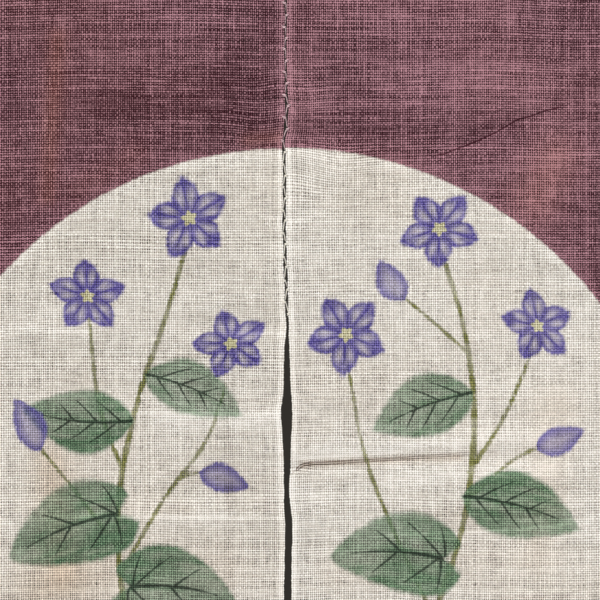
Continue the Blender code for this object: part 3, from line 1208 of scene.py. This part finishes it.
        # The thread's height is painted into its colour: paler on the tops as painted highlight, darker down
        # between the threads as painted shade
        pale = put("ShaderNodeMath", woven["high"], self.top_contrast, level, operation="MULTIPLY_ADD")
        calm = put("ShaderNodeMapRange", from_disc, -1.0, 1.0, 0.55, 1.0)
        pale = put("ShaderNodeMath", woven["tone"], calm, pale, operation="MULTIPLY_ADD")
        for noise, amount in uneven_parts:
            pale = put("ShaderNodeMath", noise, amount, pale, operation="MULTIPLY_ADD")
        halo = put("ShaderNodeMath", from_disc, operation="ABSOLUTE")
        halo = put("ShaderNodeMapRange", halo, self.halo_width, 0.0, 0.0, 0.18,
                   interpolation_type="SMOOTHSTEP")
        # Add painted highlight lines, the wash with its painted highlight and shade bands, and the paler ring
        # by the disc's edge
        for extra in (ridge, parts["wash"][0], halo):
            pale = put("ShaderNodeMath", pale, extra, operation="ADD")
        return put("ShaderNodeMath", selvedge, 0.14, pale, operation="MULTIPLY_ADD", use_clamp=True)

    def picture(self, sheet: NodeSheet, parts: dict[str, Sockets],
                woven: dict[str, bpy.types.NodeSocket]) -> dict[str, bpy.types.NodeSocket]:
        """Lay the dyes over each other: the ground and the disc, then every stroke on them.

        Args:
            sheet: The tree to fill.
            parts: The panel's attributes, three numbers each.
            woven: What the weave gave.

        Returns:
            The colour between the threads, the colour on top of them, and the shapes of the disc and of the
            pulled thread.
        """
        put = sheet.put
        reach, depth, _ = parts["cloth"]
        from_disc, from_stem, from_bud = parts["dye_edges"]
        spot = put("ShaderNodeCombineXYZ", reach, depth, 0.0)

        # Brushed edges wander by a millimetre, and wick along single threads
        wander = put("ShaderNodeTexNoise", spot, named={"Scale": self.wander_scale, "Detail": 2.0},
                     noise_dimensions="3D")
        wander = put("ShaderNodeMath", wander, 2.2, -1.75, operation="MULTIPLY_ADD")
        ragged = put("ShaderNodeMath", woven["chance"], 1.3, wander, operation="MULTIPLY_ADD")

        def mask(edge: bpy.types.NodeSocket, soft: float, ragged_part: float) -> bpy.types.NodeSocket:
            """Fill inside an edge, with a soft border of that many millimetres."""
            bent = put("ShaderNodeMath", ragged, ragged_part, edge, operation="MULTIPLY_ADD")
            return put("ShaderNodeMapRange", bent, soft, -soft, 0.0, 1.0, interpolation_type="SMOOTHSTEP")

        brushed = put("ShaderNodeTexNoise", spot, noise_dimensions="3D",
                      named={"Scale": self.brush_scale, "Detail": 2.0, "Distortion": 0.6})
        stem_full = put("ShaderNodeMath", brushed, 1.3, 0.2, operation="MULTIPLY_ADD", use_clamp=True)
        bud_full = put("ShaderNodeMath", brushed, 4.0, from_bud, operation="MULTIPLY_ADD")
        bud_full = put("ShaderNodeMapRange", bud_full, -5.0, 2.0, 0.55, 1.0)
        leaf_edge, leaf_full, vein = self.leaf(sheet, parts, brushed)
        petals = self.petals(sheet, brushed)

        # The pressed crease is two dark lines side by side, painted shade with a soiled tinge, which fade
        # away from the split
        crease, pulled = (put("ShaderNodeMath", parts["thin_lines"][column], operation="ABSOLUTE")
                          for column in (0, 2))
        twin = put("ShaderNodeMath", crease, 0.7, operation="SUBTRACT")
        twin = put("ShaderNodeMath", twin, operation="ABSOLUTE")
        twin = put("ShaderNodeMath", twin, PRESSED_CREASE.root_half, operation="SUBTRACT")
        fading = put("ShaderNodeMath", reach, CLEAR_OF_ZERO, operation="SUBTRACT")
        fading = put("ShaderNodeMapRange", fading, 0.02, 0.12, 0.95, 0.25)
        pulled = mask(put("ShaderNodeMath", pulled, PULLED_THREAD.root_half, operation="SUBTRACT"), 0.3, 0.1)

        disc = mask(from_disc, 0.9, 0.55)
        layers = (
            (mask(twin, 0.30, 0.15), fading, self.crease_line),
            (pulled, 0.95, self.pulled_line),
            (mask(from_stem, 0.7, 0.7), stem_full, self.stem),
            (mask(leaf_edge, 2.3, 1.1), leaf_full, self.leaf_green),
            (mask(vein, 0.55, 0.35), 0.88, self.vein),
            (mask(from_bud, 1.4, 0.9), bud_full, self.petal),
            (mask(petals["edge"], 1.5, 0.9), petals["full"], self.petal),
            (mask(petals["line"], 0.45, 0.2), 0.50, self.petal_line),
            (mask(petals["heart"], 0.7, 0.4), 0.90, self.heart),
        )
        amounts = [put("ShaderNodeMath", fill, strength, operation="MULTIPLY")
                   for fill, strength, _ in layers]
        shades = {"disc": disc, "pulled": pulled}
        for shade in ("deep", "pale"):
            colours = []
            for plain, tinged in ((self.ground, self.red_ground), (self.disc, self.soiled_disc)):
                pair = linear(getattr(plain, shade)), linear(getattr(tinged, shade))
                colours.append(put("ShaderNodeMix", parts["wash"][1], *COLOUR_SKIP, *pair, data_type="RGBA",
                                   out=2))
            colour = put("ShaderNodeMix", disc, *COLOUR_SKIP, *colours, data_type="RGBA", out=2)
            for amount, (_, _, dye) in zip(amounts, layers):
                colour = put("ShaderNodeMix", amount, *COLOUR_SKIP, colour, linear(getattr(dye, shade)),
                             data_type="RGBA", out=2)
            shades[shade] = colour
        return shades

    def covered(self, sheet: NodeSheet, parts: dict[str, Sockets], woven: dict[str, bpy.types.NodeSocket],
                shades: dict[str, bpy.types.NodeSocket], ridge: bpy.types.NodeSocket) -> bpy.types.NodeSocket:
        """Close the holes in part with loose fibres, more so where the cloth is dyed, and on the disc where
        its wash is lighter or a painted highlight line lies, which brightens these further.

        Args:
            sheet: The tree to fill.
            parts: The panel's attributes, three numbers each.
            woven: What the weave gave.
            shades: What the picture gave.
            ridge: How bright the painted highlight lines on the small ridges are.

        Returns:
            How much of the cloth hides what is behind it, from 0 to 1.
        """
        put = sheet.put
        ends, picks, _ = parts["threads"]
        lighter, _, fluff = parts["wash"]
        fuzz = put("ShaderNodeMath", fluff, 0.34, 0.04, operation="MULTIPLY_ADD")
        fuzz = put("ShaderNodeMath", shades["disc"], -0.42, fuzz, operation="MULTIPLY_ADD")
        closed = put("ShaderNodeMath", lighter, ridge, operation="ADD")
        closed = put("ShaderNodeMath", closed, shades["disc"], operation="MULTIPLY")
        fuzz = put("ShaderNodeMath", closed, 0.9, fuzz, operation="MULTIPLY_ADD")
        each_hole = put("ShaderNodeTexNoise", put("ShaderNodeCombineXYZ", ends, picks, 0.0),
                        named={"Scale": 0.9, "Detail": 0.0}, noise_dimensions="3D")
        fuzz = put("ShaderNodeMath", each_hole, 1.2, fuzz, operation="MULTIPLY_ADD", use_clamp=True)
        firm = put("ShaderNodeMath", parts["cloth"][2], 0.5, operation="MULTIPLY")
        for least in (firm, shades["pulled"]):
            fuzz = put("ShaderNodeMath", fuzz, least, operation="MAXIMUM")
        return put("ShaderNodeMapRange", woven["cover"], 0.0, 1.0, fuzz, 1.0)

    def build(self, name: str) -> bpy.types.Material:
        """Build the cloth's material.

        Args:
            name: The material's name.

        Returns:
            The material, which reads the panel's thread and dye attributes.
        """
        material = bpy.data.materials.new(name)
        material.use_nodes = True
        tree = material.node_tree
        tree.nodes.clear()
        sheet = NodeSheet(tree)
        put = sheet.put
        parts = {}
        for key in ("threads", "cloth", "wash", "dye_edges", "thin_lines", "leaf_place", "leaf_wash"):
            vector = put("ShaderNodeAttribute", attribute_name=key, out="Vector")
            parts[key] = tuple(put("ShaderNodeSeparateXYZ", vector).node.outputs)
        reach, depth, _ = parts["cloth"]
        # Painted highlight along the thin bright lines on the small ridges
        ridge = put("ShaderNodeMath", parts["thin_lines"][1], operation="ABSOLUTE")
        ridge = put("ShaderNodeMapRange", ridge, 1.5, 0.2, 0.0, 0.50, interpolation_type="SMOOTHSTEP")
        woven = self.weave(sheet, parts)
        shades = self.picture(sheet, parts, woven)
        pale = self.tops(sheet, parts, woven, ridge)
        # The colour runs from the deep tone, painted shade between the threads, to the pale tone, painted
        # highlight on their tops
        colour = put("ShaderNodeMix", pale, *COLOUR_SKIP, shades["deep"], shades["pale"],
                     data_type="RGBA", out=2)

        # The picks turn back at the selvedge in small uneven loops, in shade where the lacing pulls them in
        past_loops = put("ShaderNodeMath", reach, CLEAR_OF_ZERO, operation="SUBTRACT")
        past_loops = put("ShaderNodeMath", past_loops, operation="ABSOLUTE")
        past_loops = put("ShaderNodeMath", past_loops, woven["loops"], operation="SUBTRACT")
        laced_to = CLEAR_OF_ZERO + LACED_DEPTH
        laced = put("ShaderNodeMapRange", depth, laced_to, laced_to - 0.010, 0.0, 1.0)
        shaded = put("ShaderNodeMapRange", past_loops, 0.00060, 0.00020, 0.0, 0.92,
                     interpolation_type="SMOOTHSTEP")
        shaded = put("ShaderNodeMath", shaded, laced, operation="MULTIPLY")
        colour = put("ShaderNodeMix", shaded, *COLOUR_SKIP, colour, linear(self.seam_shade),
                     data_type="RGBA", out=2)
        inside = put("ShaderNodeMath", past_loops, 0.0, operation="GREATER_THAN")
        cover = put("ShaderNodeMath", self.covered(sheet, parts, woven, shades, ridge), inside,
                    operation="MULTIPLY")

        # Hemp fibre is dry and matt: hardly any gloss, and only a breath of sheen
        bump = put("ShaderNodeBump", named={"Strength": 0.55, "Distance": 0.00035, "Height": woven["high"]})
        rough = put("ShaderNodeMath", woven["high"], -0.10, self.roughness + 0.05, operation="MULTIPLY_ADD")
        shader = put("ShaderNodeBsdfPrincipled", named={
            "Base Color": colour, "Roughness": rough, "Alpha": cover, "Normal": bump,
            "IOR": 1.45, "Specular IOR Level": 0.12, "Sheen Weight": 0.03,
        })
        put("ShaderNodeOutputMaterial", shader)
        return material


@dataclass(frozen=True)
class SewingThread:
    """Cotton sewing thread: matt and twisted, so small light and dark turns show along it.

    Above a depth it took the cloth's dye, as the cloth was dyed once it was sewn.
    """

    colour: str = "#fffdf8"
    shadow: str = "#d6d2c8"
    dyed_colour: str = "#f4dfe5"
    dyed_shadow: str = "#c598a7"
    dyed_above: float = LENGTH
    dye_blur: float = 0.0015
    twist: float = 0.0009
    roughness: float = 0.8

    def build(self, name: str) -> bpy.types.Material:
        """Build the thread's material on Object coordinates.

        Args:
            name: The material's name.

        Returns:
            The material.
        """
        material = bpy.data.materials.new(name)
        material.use_nodes = True
        tree = material.node_tree
        tree.nodes.clear()
        put = NodeSheet(tree).put
        place = put("ShaderNodeTexCoord", out="Object")
        turns = put("ShaderNodeTexNoise", place, named={"Scale": 1.0 / self.twist, "Detail": 1.0})
        height = put("ShaderNodeSeparateXYZ", place, out=2)
        dyed = put("ShaderNodeMapRange", height, -self.dyed_above - self.dye_blur,
                   -self.dyed_above + self.dye_blur)
        tones = []
        for plain, tinged in ((self.shadow, self.dyed_shadow), (self.colour, self.dyed_colour)):
            tones.append(put("ShaderNodeMix", dyed, *COLOUR_SKIP, linear(plain), linear(tinged),
                             data_type="RGBA", out=2))
        colour = put("ShaderNodeMix", turns, *COLOUR_SKIP, *tones, data_type="RGBA", out=2)
        bump = put("ShaderNodeBump", named={"Strength": 0.4, "Distance": 0.0001, "Height": turns})
        rough = put("ShaderNodeMath", turns, 0.1, self.roughness, operation="MULTIPLY_ADD")
        shader = put("ShaderNodeBsdfPrincipled", named={
            "Base Color": colour, "Roughness": rough, "Normal": bump, "IOR": 1.45, "Specular IOR Level": 0.3,
        })
        put("ShaderNodeOutputMaterial", shader)
        return material


def equal_steps(start: float, end: float, step: float) -> list[float]:
    """List places after start up to end, in equal steps no longer than step."""
    count = max(1, math.ceil((end - start) / step - 1e-9))
    return [start + (end - start) * index / count for index in range(1, count + 1)]


@dataclass
class NorenPanel:
    """One loom width of hemp with its side, top and bottom hems turned to the back."""

    side: Side
    selvedge_width: float = 0.0042
    selvedge_blur: float = 0.0012
    # The whole panel is painted paler on the right and darker on the left, standing in for light that falls
    # brighter on the right
    left_tone: float = -0.05
    right_tone: float = 0.075
    tone_change: float = 0.07
    red_change: float = 0.16
    fluff_change: float = 0.3
    pick_shift: float = 0.0011
    end_crowding: float = 0.40
    pick_crowding: float = 0.95
    looseness: float = 0.30

    def grid(self) -> tuple[np.ndarray, np.ndarray]:
        """Lay out the flat cloth: distances from the selvedge, and distances down from the top fold.

        Returns:
            The grid's lines across, and its lines down. Cloth that the hems take lies past their fold lines.
        """
        side_line = PANEL_WIDTH - SIDE_TURN.radius
        across = [0.0] + equal_steps(0.0, PAINTED_REACH, FINE_STEP)
        across += equal_steps(PAINTED_REACH, side_line, COARSE_STEP)
        across += [side_line + mark for mark in SIDE_TURN.stations()]
        top_line, bottom_line = TOP_TURN.radius, LENGTH - BOTTOM_TURN.radius
        down = [top_line - mark for mark in reversed(TOP_TURN.stations())] + [top_line]
        down += equal_steps(top_line, PAINTED_FROM, COARSE_STEP)
        down += equal_steps(PAINTED_FROM, PAINTED_TO, FINE_STEP)
        down += equal_steps(PAINTED_TO, bottom_line, COARSE_STEP)
        down += [bottom_line + mark for mark in BOTTOM_TURN.stations()]
        return np.array(across), np.array(down)

    def thread_numbers(self, reach: np.ndarray, depth: np.ndarray) -> np.ndarray:
        """Number the threads at each point: ends across, picks down, and how loose they stand.

        Args:
            reach: Flat distance from the selvedge.
            depth: Flat distance down.

        Returns:
            Three values a point.
        """
        seed = 40 + self.side.value
        shift = np.zeros(reach.shape)
        for bow in BOWS[self.side]:
            off = ((reach - bow.reach) / bow.across) ** 2 + ((depth - bow.depth) / bow.down) ** 2
            shift += bow.shift * np.exp(-off)
        shift += self.pick_shift * uneven(reach, depth * 0.5, 0.060, seed + 3)
        ends = reach / WARP_PITCH + self.end_crowding * uneven(reach, depth * 0.04, 0.013, seed)
        picks = (depth - shift) / WEFT_PITCH
        picks = picks + self.pick_crowding * uneven(reach * 0.03, depth, 0.014, seed + 9)
        loose = self.looseness * uneven(reach, depth * 0.10, 0.016, seed + 17)
        for mark in REED_MARKS[self.side]:
            loose += mark.looseness * np.exp(-(((reach - mark.reach) / mark.half_width) ** 2))
        return np.stack((ends + FIRST_THREAD, picks + FIRST_THREAD, loose), axis=-1)

    def wash(self, reach: np.ndarray, depth: np.ndarray) -> np.ndarray:
        """Work out the slow changes of colour, painted light and shade among them: how much lighter and
        redder, and how fluffy the threads are.

        Args:
            reach: Flat distance from the selvedge.
            depth: Flat distance down.

        Returns:
            Three values a point.
        """
        seed = 70 + self.side.value
        # Painted light: the right panel painted paler and the left darker
        tone = self.right_tone if self.side is Side.RIGHT else self.left_tone
        lighter = self.tone_change * uneven(reach, depth, 0.045, seed) + tone
        redder = self.red_change * np.maximum(uneven(reach, depth, 0.060, seed + 5), 0.0)
        # Strokes of uneven colour, and painted highlight and shade along the creases
        for mark in WASH_AND_LIGHT_MARKS[self.side]:
            start, end = (mark.from_reach, mark.from_depth), (mark.to_reach, mark.to_depth)
            off, _ = to_segment(reach, depth, start, end)
            there = np.exp(-((off / mark.half_width) ** 2))
            lighter = lighter + mark.lighter * there
            redder = redder + mark.redder * there
        fluff = 0.5 + self.fluff_change * uneven(reach, depth, 0.011, seed + 9)
        fluff += self.fluff_change * uneven(reach * 0.5, depth, 0.026, seed + 13)
        return np.stack((lighter, redder, fluff), axis=-1)

    def build(self, finish: DyedHemp) -> bpy.types.Object:
        """Build the panel's cloth and dress it.

        Args:
            finish: The cloth's finish.

        Returns:
            The panel.
        """
        across, down = self.grid()
        flat_reach, flat_depth = (part.ravel() for part in np.meshgrid(across, down))
        side_line = PANEL_WIDTH - SIDE_TURN.radius
        out, back = SIDE_TURN.turn(flat_reach - side_line, np.zeros_like(flat_reach))
        reach = side_line + out
        top_out, top_back = TOP_TURN.turn(TOP_TURN.radius - flat_depth, back)
        bottom_line = LENGTH - BOTTOM_TURN.radius
        low_out, low_back = BOTTOM_TURN.turn(flat_depth - bottom_line, back)
        upper = flat_depth < LENGTH / 2.0
        depth = np.where(upper, TOP_TURN.radius - top_out, bottom_line + low_out)
        points = HangingCloth(self.side).place(reach, depth, np.where(upper, top_back, low_back))

        columns, rows = len(across), len(down)
        corner = (np.arange(rows - 1)[:, None] * columns + np.arange(columns - 1)[None, :]).ravel()
        faces = np.stack((corner, corner + columns, corner + columns + 1, corner + 1), axis=-1)
        if self.side is Side.LEFT:
            faces = faces[:, ::-1]
        name = "cloth_" + self.side.word
        mesh = bpy.data.meshes.new(name)
        mesh.from_pydata(points.tolist(), [], faces.tolist())
        selvedge = smooth((self.selvedge_width - flat_reach) / self.selvedge_blur + 0.5)
        places = (self.side.value * flat_reach + CLEAR_OF_ZERO, flat_depth + CLEAR_OF_ZERO, selvedge)
        attributes = {
            "threads": self.thread_numbers(flat_reach, flat_depth),
            "cloth": np.stack(places, axis=-1),
            "wash": self.wash(flat_reach, flat_depth),
            **DyedPicture(self.side).measure(flat_reach, flat_depth),
        }
        for key, values in attributes.items():
            layer = mesh.attributes.new(key, "FLOAT_VECTOR", "POINT")
            layer.data.foreach_set("vector", np.ascontiguousarray(values, dtype=np.float32).ravel())
        mesh.shade_smooth()
        mesh.materials.append(finish.build("dyed_hemp_" + self.side.word))
        panel = bpy.data.objects.new(name, mesh)
        bpy.context.scene.collection.objects.link(panel)
        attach(panel, "root")
        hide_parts("panel_" + self.side.word)
        LOG.info("%s: %d faces", name, len(mesh.polygons))
        return panel


def path_tree(name: str, sizes: dict[str, float]) -> tuple[bpy.types.NodeTree, dict[str, float]]:
    """Start a Geometry Nodes tree that takes a path and some sizes, and hands back sewing.

    Args:
        name: The name of the piece that it makes.
        sizes: Its inputs by name.

    Returns:
        The tree, and the same sizes by their sockets' identifiers.
    """
    tree = bpy.data.node_groups.new(name + "_sewing", "GeometryNodeTree")
    tree.interface.new_socket("Path", in_out="INPUT", socket_type="NodeSocketGeometry")
    by_identifier = {}
    for label, value in sizes.items():
        socket = tree.interface.new_socket(label, in_out="INPUT", socket_type="NodeSocketFloat")
        by_identifier[socket.identifier] = value
    tree.interface.new_socket("Sewing", in_out="OUTPUT", socket_type="NodeSocketGeometry")
    return tree, by_identifier


def thread_along(name: str, points: np.ndarray, radius: float, step: float,
                 material: bpy.types.Material) -> bpy.types.Object:
    """Lay a round thread along a path with Geometry Nodes.

    Args:
        name: The piece's name.
        points: The path.
        radius: The thread's radius.
        step: The length between its rings.
        material: Its finish.

    Returns:
        The thread as a plain mesh.
    """
    tree, sizes = path_tree(name, {"Thread Radius": radius, "Step": step})
    put = NodeSheet(tree).put
    given = put("NodeGroupInput").node
    curve = put("GeometryNodeMeshToCurve", given.outputs["Path"])
    curve = put("GeometryNodeCurveSplineType", curve, spline_type="CATMULL_ROM")
    curve = put("GeometryNodeResampleCurve", curve, named={"Length": given.outputs["Step"]}, mode="LENGTH")
    ring = put("GeometryNodeCurvePrimitiveCircle",
               named={"Resolution": 7, "Radius": given.outputs["Thread Radius"]})
    tube = put("GeometryNodeCurveToMesh", curve, ring, named={"Fill Caps": True})
    tube = put("GeometryNodeSetShadeSmooth", tube)
    tube = put("GeometryNodeRealizeInstances", tube)
    tube = put("GeometryNodeSetMaterial", tube, named={"Material": material})
    put("NodeGroupOutput", tube)
    return grown(name, points, tree, sizes, material)


def stitches_along(name: str, points: np.ndarray, stitch: "RunningStitch",
                   material: bpy.types.Material) -> bpy.types.Object:
    """Set running stitches along a path with Geometry Nodes.

    Args:
        name: The piece's name.
        points: The path.
        stitch: The stitch's sizes.
        material: Its finish.

    Returns:
        The stitches as one plain mesh.
    """
    tree, sizes = path_tree(name, {"Pitch": stitch.pitch, "Stitch Length": stitch.length,
                                   "Thread Radius": stitch.radius})
    put = NodeSheet(tree).put
    given = put("NodeGroupInput").node
    curve = put("GeometryNodeMeshToCurve", given.outputs["Path"])
    spots = put("GeometryNodeCurveToPoints", curve, named={"Length": given.outputs["Pitch"]},
                mode="LENGTH").node
    bead = put("GeometryNodeMeshUVSphere", named={"Segments": 6, "Rings": 5, "Radius": 1.0})
    half_length = put("ShaderNodeMath", given.outputs["Stitch Length"], 0.5, operation="MULTIPLY")
    thread_radius = given.outputs["Thread Radius"]
    shape = put("ShaderNodeCombineXYZ", thread_radius, thread_radius, half_length)
    bead = put("GeometryNodeTransform", bead, named={"Scale": shape})
    wobble = put("FunctionNodeRandomValue", data_type="FLOAT_VECTOR",
                 named={"Min": (-stitch.wobble,) * 3, "Max": (stitch.wobble,) * 3, "Seed": 4})
    wobble = put("FunctionNodeEulerToRotation", wobble)
    turn = put("FunctionNodeAlignRotationToVector", None, None, put("GeometryNodeInputTangent"), axis="Z")
    turn = put("FunctionNodeRotateRotation", turn, wobble, rotation_space="LOCAL")
    set_down = put("GeometryNodeInstanceOnPoints", spots.outputs["Points"],
                   named={"Instance": bead, "Rotation": turn})
    set_down = put("GeometryNodeRealizeInstances", set_down)
    set_down = put("GeometryNodeSetShadeSmooth", set_down)
    set_down = put("GeometryNodeSetMaterial", set_down, named={"Material": material})
    put("NodeGroupOutput", set_down)
    return grown(name, points, tree, sizes, material)


def grown(name: str, points: np.ndarray, tree: bpy.types.NodeTree, sizes: dict[str, float],
          material: bpy.types.Material) -> bpy.types.Object:
    """Run a Geometry Nodes tree on a path and keep what it makes as a plain mesh.

    Args:
        name: The piece's name.
        points: The path that the tree gets, as a line of points.
        tree: The tree.
        sizes: Its inputs by identifier.
        material: The piece's finish.

    Returns:
        The finished piece.
    """
    path = bpy.data.meshes.new(name + "_path")
    path.from_pydata(points.tolist(), [(index, index + 1) for index in range(len(points) - 1)], [])
    guide = bpy.data.objects.new(name + "_guide", path)
    bpy.context.scene.collection.objects.link(guide)
    grower = guide.modifiers.new("sewing", "NODES")
    grower.node_group = tree
    for identifier, value in sizes.items():
        grower[identifier] = value
    graph = bpy.context.evaluated_depsgraph_get()
    mesh = bpy.data.meshes.new_from_object(guide.evaluated_get(graph), depsgraph=graph)
    mesh.name = name
    bpy.data.objects.remove(guide, do_unlink=True)
    bpy.data.meshes.remove(path)
    mesh.materials.clear()
    mesh.materials.append(material)
    piece = bpy.data.objects.new(name, mesh)
    bpy.context.scene.collection.objects.link(piece)
    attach(piece, "root")
    LOG.info("%s: %d faces", name, len(mesh.polygons))
    return piece


@dataclass(frozen=True)
class RunningStitch:
    """A hem's running stitch, and how far a stitch may lean off the seam, in radians."""

    pitch: float = 0.0066
    length: float = 0.0036
    radius: float = 0.00026
    wobble: float = 0.10


@dataclass(frozen=True)
class Lacing:
    """The open zigzag that laces the two selvedges together, with two turns round the edge at each stitch."""

    radius: float = 0.00030
    bite: float = 0.0014
    start: float = 0.0075
    ring_step: float = 0.00035

    def knot(self, bite: float) -> tuple[tuple[float, float, float], ...]:
        """List one stitch's points.

        Args:
            bite: How far from the edge the needle goes through.

        Returns:
            For each point its distance into the cloth, its distance down, and how far behind the front.
        """
        lift = self.radius
        return (
            (0.0002, -0.0016, 0.0010), (bite, -0.0006, 0.0011), (bite + 0.0003, -0.0004, 0.0002),
            (bite, -0.0004, -lift), (bite * 0.5, -0.0003, -lift - 0.0003), (-0.0003, -0.0001, -0.0001),
            (0.0001, 0.0001, 0.0010), (bite * 0.7, 0.0002, 0.0011), (bite * 0.8, 0.0003, 0.0002),
            (bite * 0.7, 0.0004, -lift), (bite * 0.35, 0.0005, -lift - 0.0003), (-0.0004, 0.0009, 0.0001),
        )

    def path(self) -> np.ndarray:
        """Follow the thread from stitch to stitch, from one edge to the other and back.

        Returns:
            The path's points, from the top down.
        """
        cloths = (HangingCloth(Side.LEFT), HangingCloth(Side.RIGHT))
        chance = np.random.default_rng(8)
        count = round((LACED_DEPTH - self.start) / (LACING_PITCH / 2.0))
        points = []
        for index in range(count + 1):
            depth = LACED_DEPTH - (count - index) * LACING_PITCH / 2.0
            depth += float(chance.uniform(-0.0006, 0.0006))
            stitch = np.array(self.knot(self.bite + float(chance.uniform(-0.0004, 0.0005))))
            points.append(cloths[index % 2].place(stitch[:, 0], depth + stitch[:, 1], stitch[:, 2]))
        return np.concatenate(points)

    def build(self, finish: SewingThread) -> bpy.types.Object:
        """Build the lacing thread."""
        material = finish.build("lacing_cotton")
        return thread_along("lacing_thread", self.path(), self.radius, self.ring_step, material)


@dataclass(frozen=True)
class HemStitching:
    """The stitches that hold one panel's three hems down, on the front and on the back."""

    side: Side
    stitch: RunningStitch = RunningStitch()
    from_edge: float = 0.0016
    end_margin: float = 0.004
    proud: float = 0.00012

    def lines(self) -> list[tuple[np.ndarray, np.ndarray, float]]:
        """List the three seams: distances across, distances down, and how far back the hem's back lies."""
        side_reach = PANEL_WIDTH - SIDE_HEM + self.from_edge
        top_depth, low_depth = TOP_HEM - self.from_edge, LENGTH - BOTTOM_HEM + self.from_edge
        down = np.linspace(self.end_margin, LENGTH - self.end_margin, 180)
        across = np.linspace(0.003, PANEL_WIDTH - self.end_margin, 90)
        return [
            (np.full_like(down, side_reach), down, 2.0 * SIDE_TURN.radius),
            (across, np.full_like(across, top_depth), 2.0 * TOP_TURN.radius),
            (across, np.full_like(across, low_depth), 2.0 * BOTTOM_TURN.radius),
        ]

    def build(self, finish: SewingThread) -> list[bpy.types.Object]:
        """Build the stitches of the three seams.

        Args:
            finish: The thread's finish.

        Returns:
            A piece for the front and a piece for the back of each seam.
        """
        material = finish.build("hem_cotton_" + self.side.word)
        cloth = HangingCloth(self.side)
        pieces = []
        for seam, (reach, depth, thick) in zip(("side", "top", "bottom"), self.lines()):
            for face, back, skip in (("front", -self.proud, 0), ("back", thick + self.proud, 1)):
                points = cloth.place(reach, depth, np.full_like(reach, back))[skip:]
                name = f"stitches_{seam}_{face}_{self.side.word}"
                pieces.append(stitches_along(name, points, self.stitch, material))
        return pieces


@dataclass(frozen=True)
class SoftBox:
    """A square soft light: where it stands, where it points, its side and its power."""

    name: str
    place: tuple[float, float, float]
    target: tuple[float, float, float]
    side: float
    watts: float
    colour: str


@dataclass
class Studio:
    """A pale floor below the hanging cloth, soft lights, a dark grey room, and the camera."""

    floor_drop: float = 1.90
    floor_side: float = 30.0
    floor_colour: str = "#dbd9d4"
    floor_roughness: float = 0.8
    room_grey: str = "#33302c"
    overhead_height: float = 6.0
    overhead_strength: float = 1.0
    overhead_softness: float = math.radians(50.0)
    sensor_width: float = 36.0
    camera_distance: float = 2.20
    frame_width: float = 0.360
    view_x: float = 0.0084
    view_depth: float = 0.3069
    lights: tuple[SoftBox, ...] = (
        SoftBox("key_light", (-2.20, -3.60, 4.40), (0.0, 0.0, -0.45), 2.0, 380.0, "#fffbf5"),
        SoftBox("fill_light", (2.60, -4.20, 0.20), (0.0, 0.0, -0.45), 2.4, 40.0, "#f4f7ff"),
        SoftBox("rear_light", (1.60, 4.20, 3.20), (0.0, 0.0, -0.45), 2.8, 300.0, "#fffaf4"),
    )

    def aimed(self, item: bpy.types.Object, place: tuple[float, float, float],
              target: tuple[float, float, float]) -> None:
        """Stand a light somewhere and point it at a target.

        Args:
            item: The light.
            place: Where it stands.
            target: What it points at.
        """
        item.location = place
        direction = np.array(target) - np.array(place)
        run = math.hypot(direction[0], direction[1])
        item.rotation_euler = (math.atan2(run, -direction[2]), 0.0, math.atan2(-direction[0], direction[1]))
        bpy.context.scene.collection.objects.link(item)

    def build(self) -> None:
        """Build the floor, the lights, the room's grey and the camera."""
        floor_mesh = bpy.data.meshes.new("floor")
        half = self.floor_side / 2.0
        corners = [(half * x, half * y, -self.floor_drop) for x, y in ((-1, -1), (1, -1), (1, 1), (-1, 1))]
        floor_mesh.from_pydata(corners, [], [(0, 1, 2, 3)])
        floor = bpy.data.objects.new("floor", floor_mesh)
        plain = bpy.data.materials.new("pale_floor")
        plain.use_nodes = True
        shader = plain.node_tree.nodes["Principled BSDF"]
        shader.inputs["Base Color"].default_value = linear(self.floor_colour)
        shader.inputs["Roughness"].default_value = self.floor_roughness
        floor_mesh.materials.append(plain)
        bpy.context.scene.collection.objects.link(floor)

        for light in self.lights:
            lamp = bpy.data.lights.new(light.name, "AREA")
            lamp.size = light.side
            lamp.energy = light.watts
            lamp.color = linear(light.colour)[:3]
            item = bpy.data.objects.new(light.name, lamp)
            item.visible_camera = False
            self.aimed(item, light.place, light.target)

        overhead = bpy.data.lights.new("overhead_light", "SUN")
        overhead.energy = self.overhead_strength
        overhead.angle = self.overhead_softness
        item = bpy.data.objects.new("overhead_light", overhead)
        self.aimed(item, (0.0, 0.0, self.overhead_height), (0.0, 0.0, 0.0))

        world = bpy.data.worlds.new("dark_room")
        world.use_nodes = True
        world.node_tree.nodes["Background"].inputs["Color"].default_value = linear(self.room_grey)
        bpy.context.scene.world = world
        bpy.context.scene.view_settings.view_transform = "Standard"

        lens = bpy.data.cameras.new("camera")
        lens.sensor_width = self.sensor_width
        lens.lens = lens.sensor_width * self.camera_distance / self.frame_width
        lens.clip_start = 0.01
        lens.clip_end = 60.0
        camera = bpy.data.objects.new("camera", lens)
        camera.location = (self.view_x, -self.camera_distance, -self.view_depth)
        camera.rotation_euler = (math.pi / 2.0, 0.0, 0.0)
        bpy.context.scene.collection.objects.link(camera)
        bpy.context.scene.camera = camera


def main() -> None:
    """Build the curtain piece by piece, then the studio."""
    logging.basicConfig(level=logging.INFO, format="%(name)s: %(message)s")
    Studio().build()
    Lacing().build(SewingThread(dyed_above=DISC_DEPTH - DISC_RADIUS))
    for side in Side:
        panel = NorenPanel(side).build(DyedHemp())
        sewing = HemStitching(side).build(SewingThread())


if __name__ == "__main__":
    main()
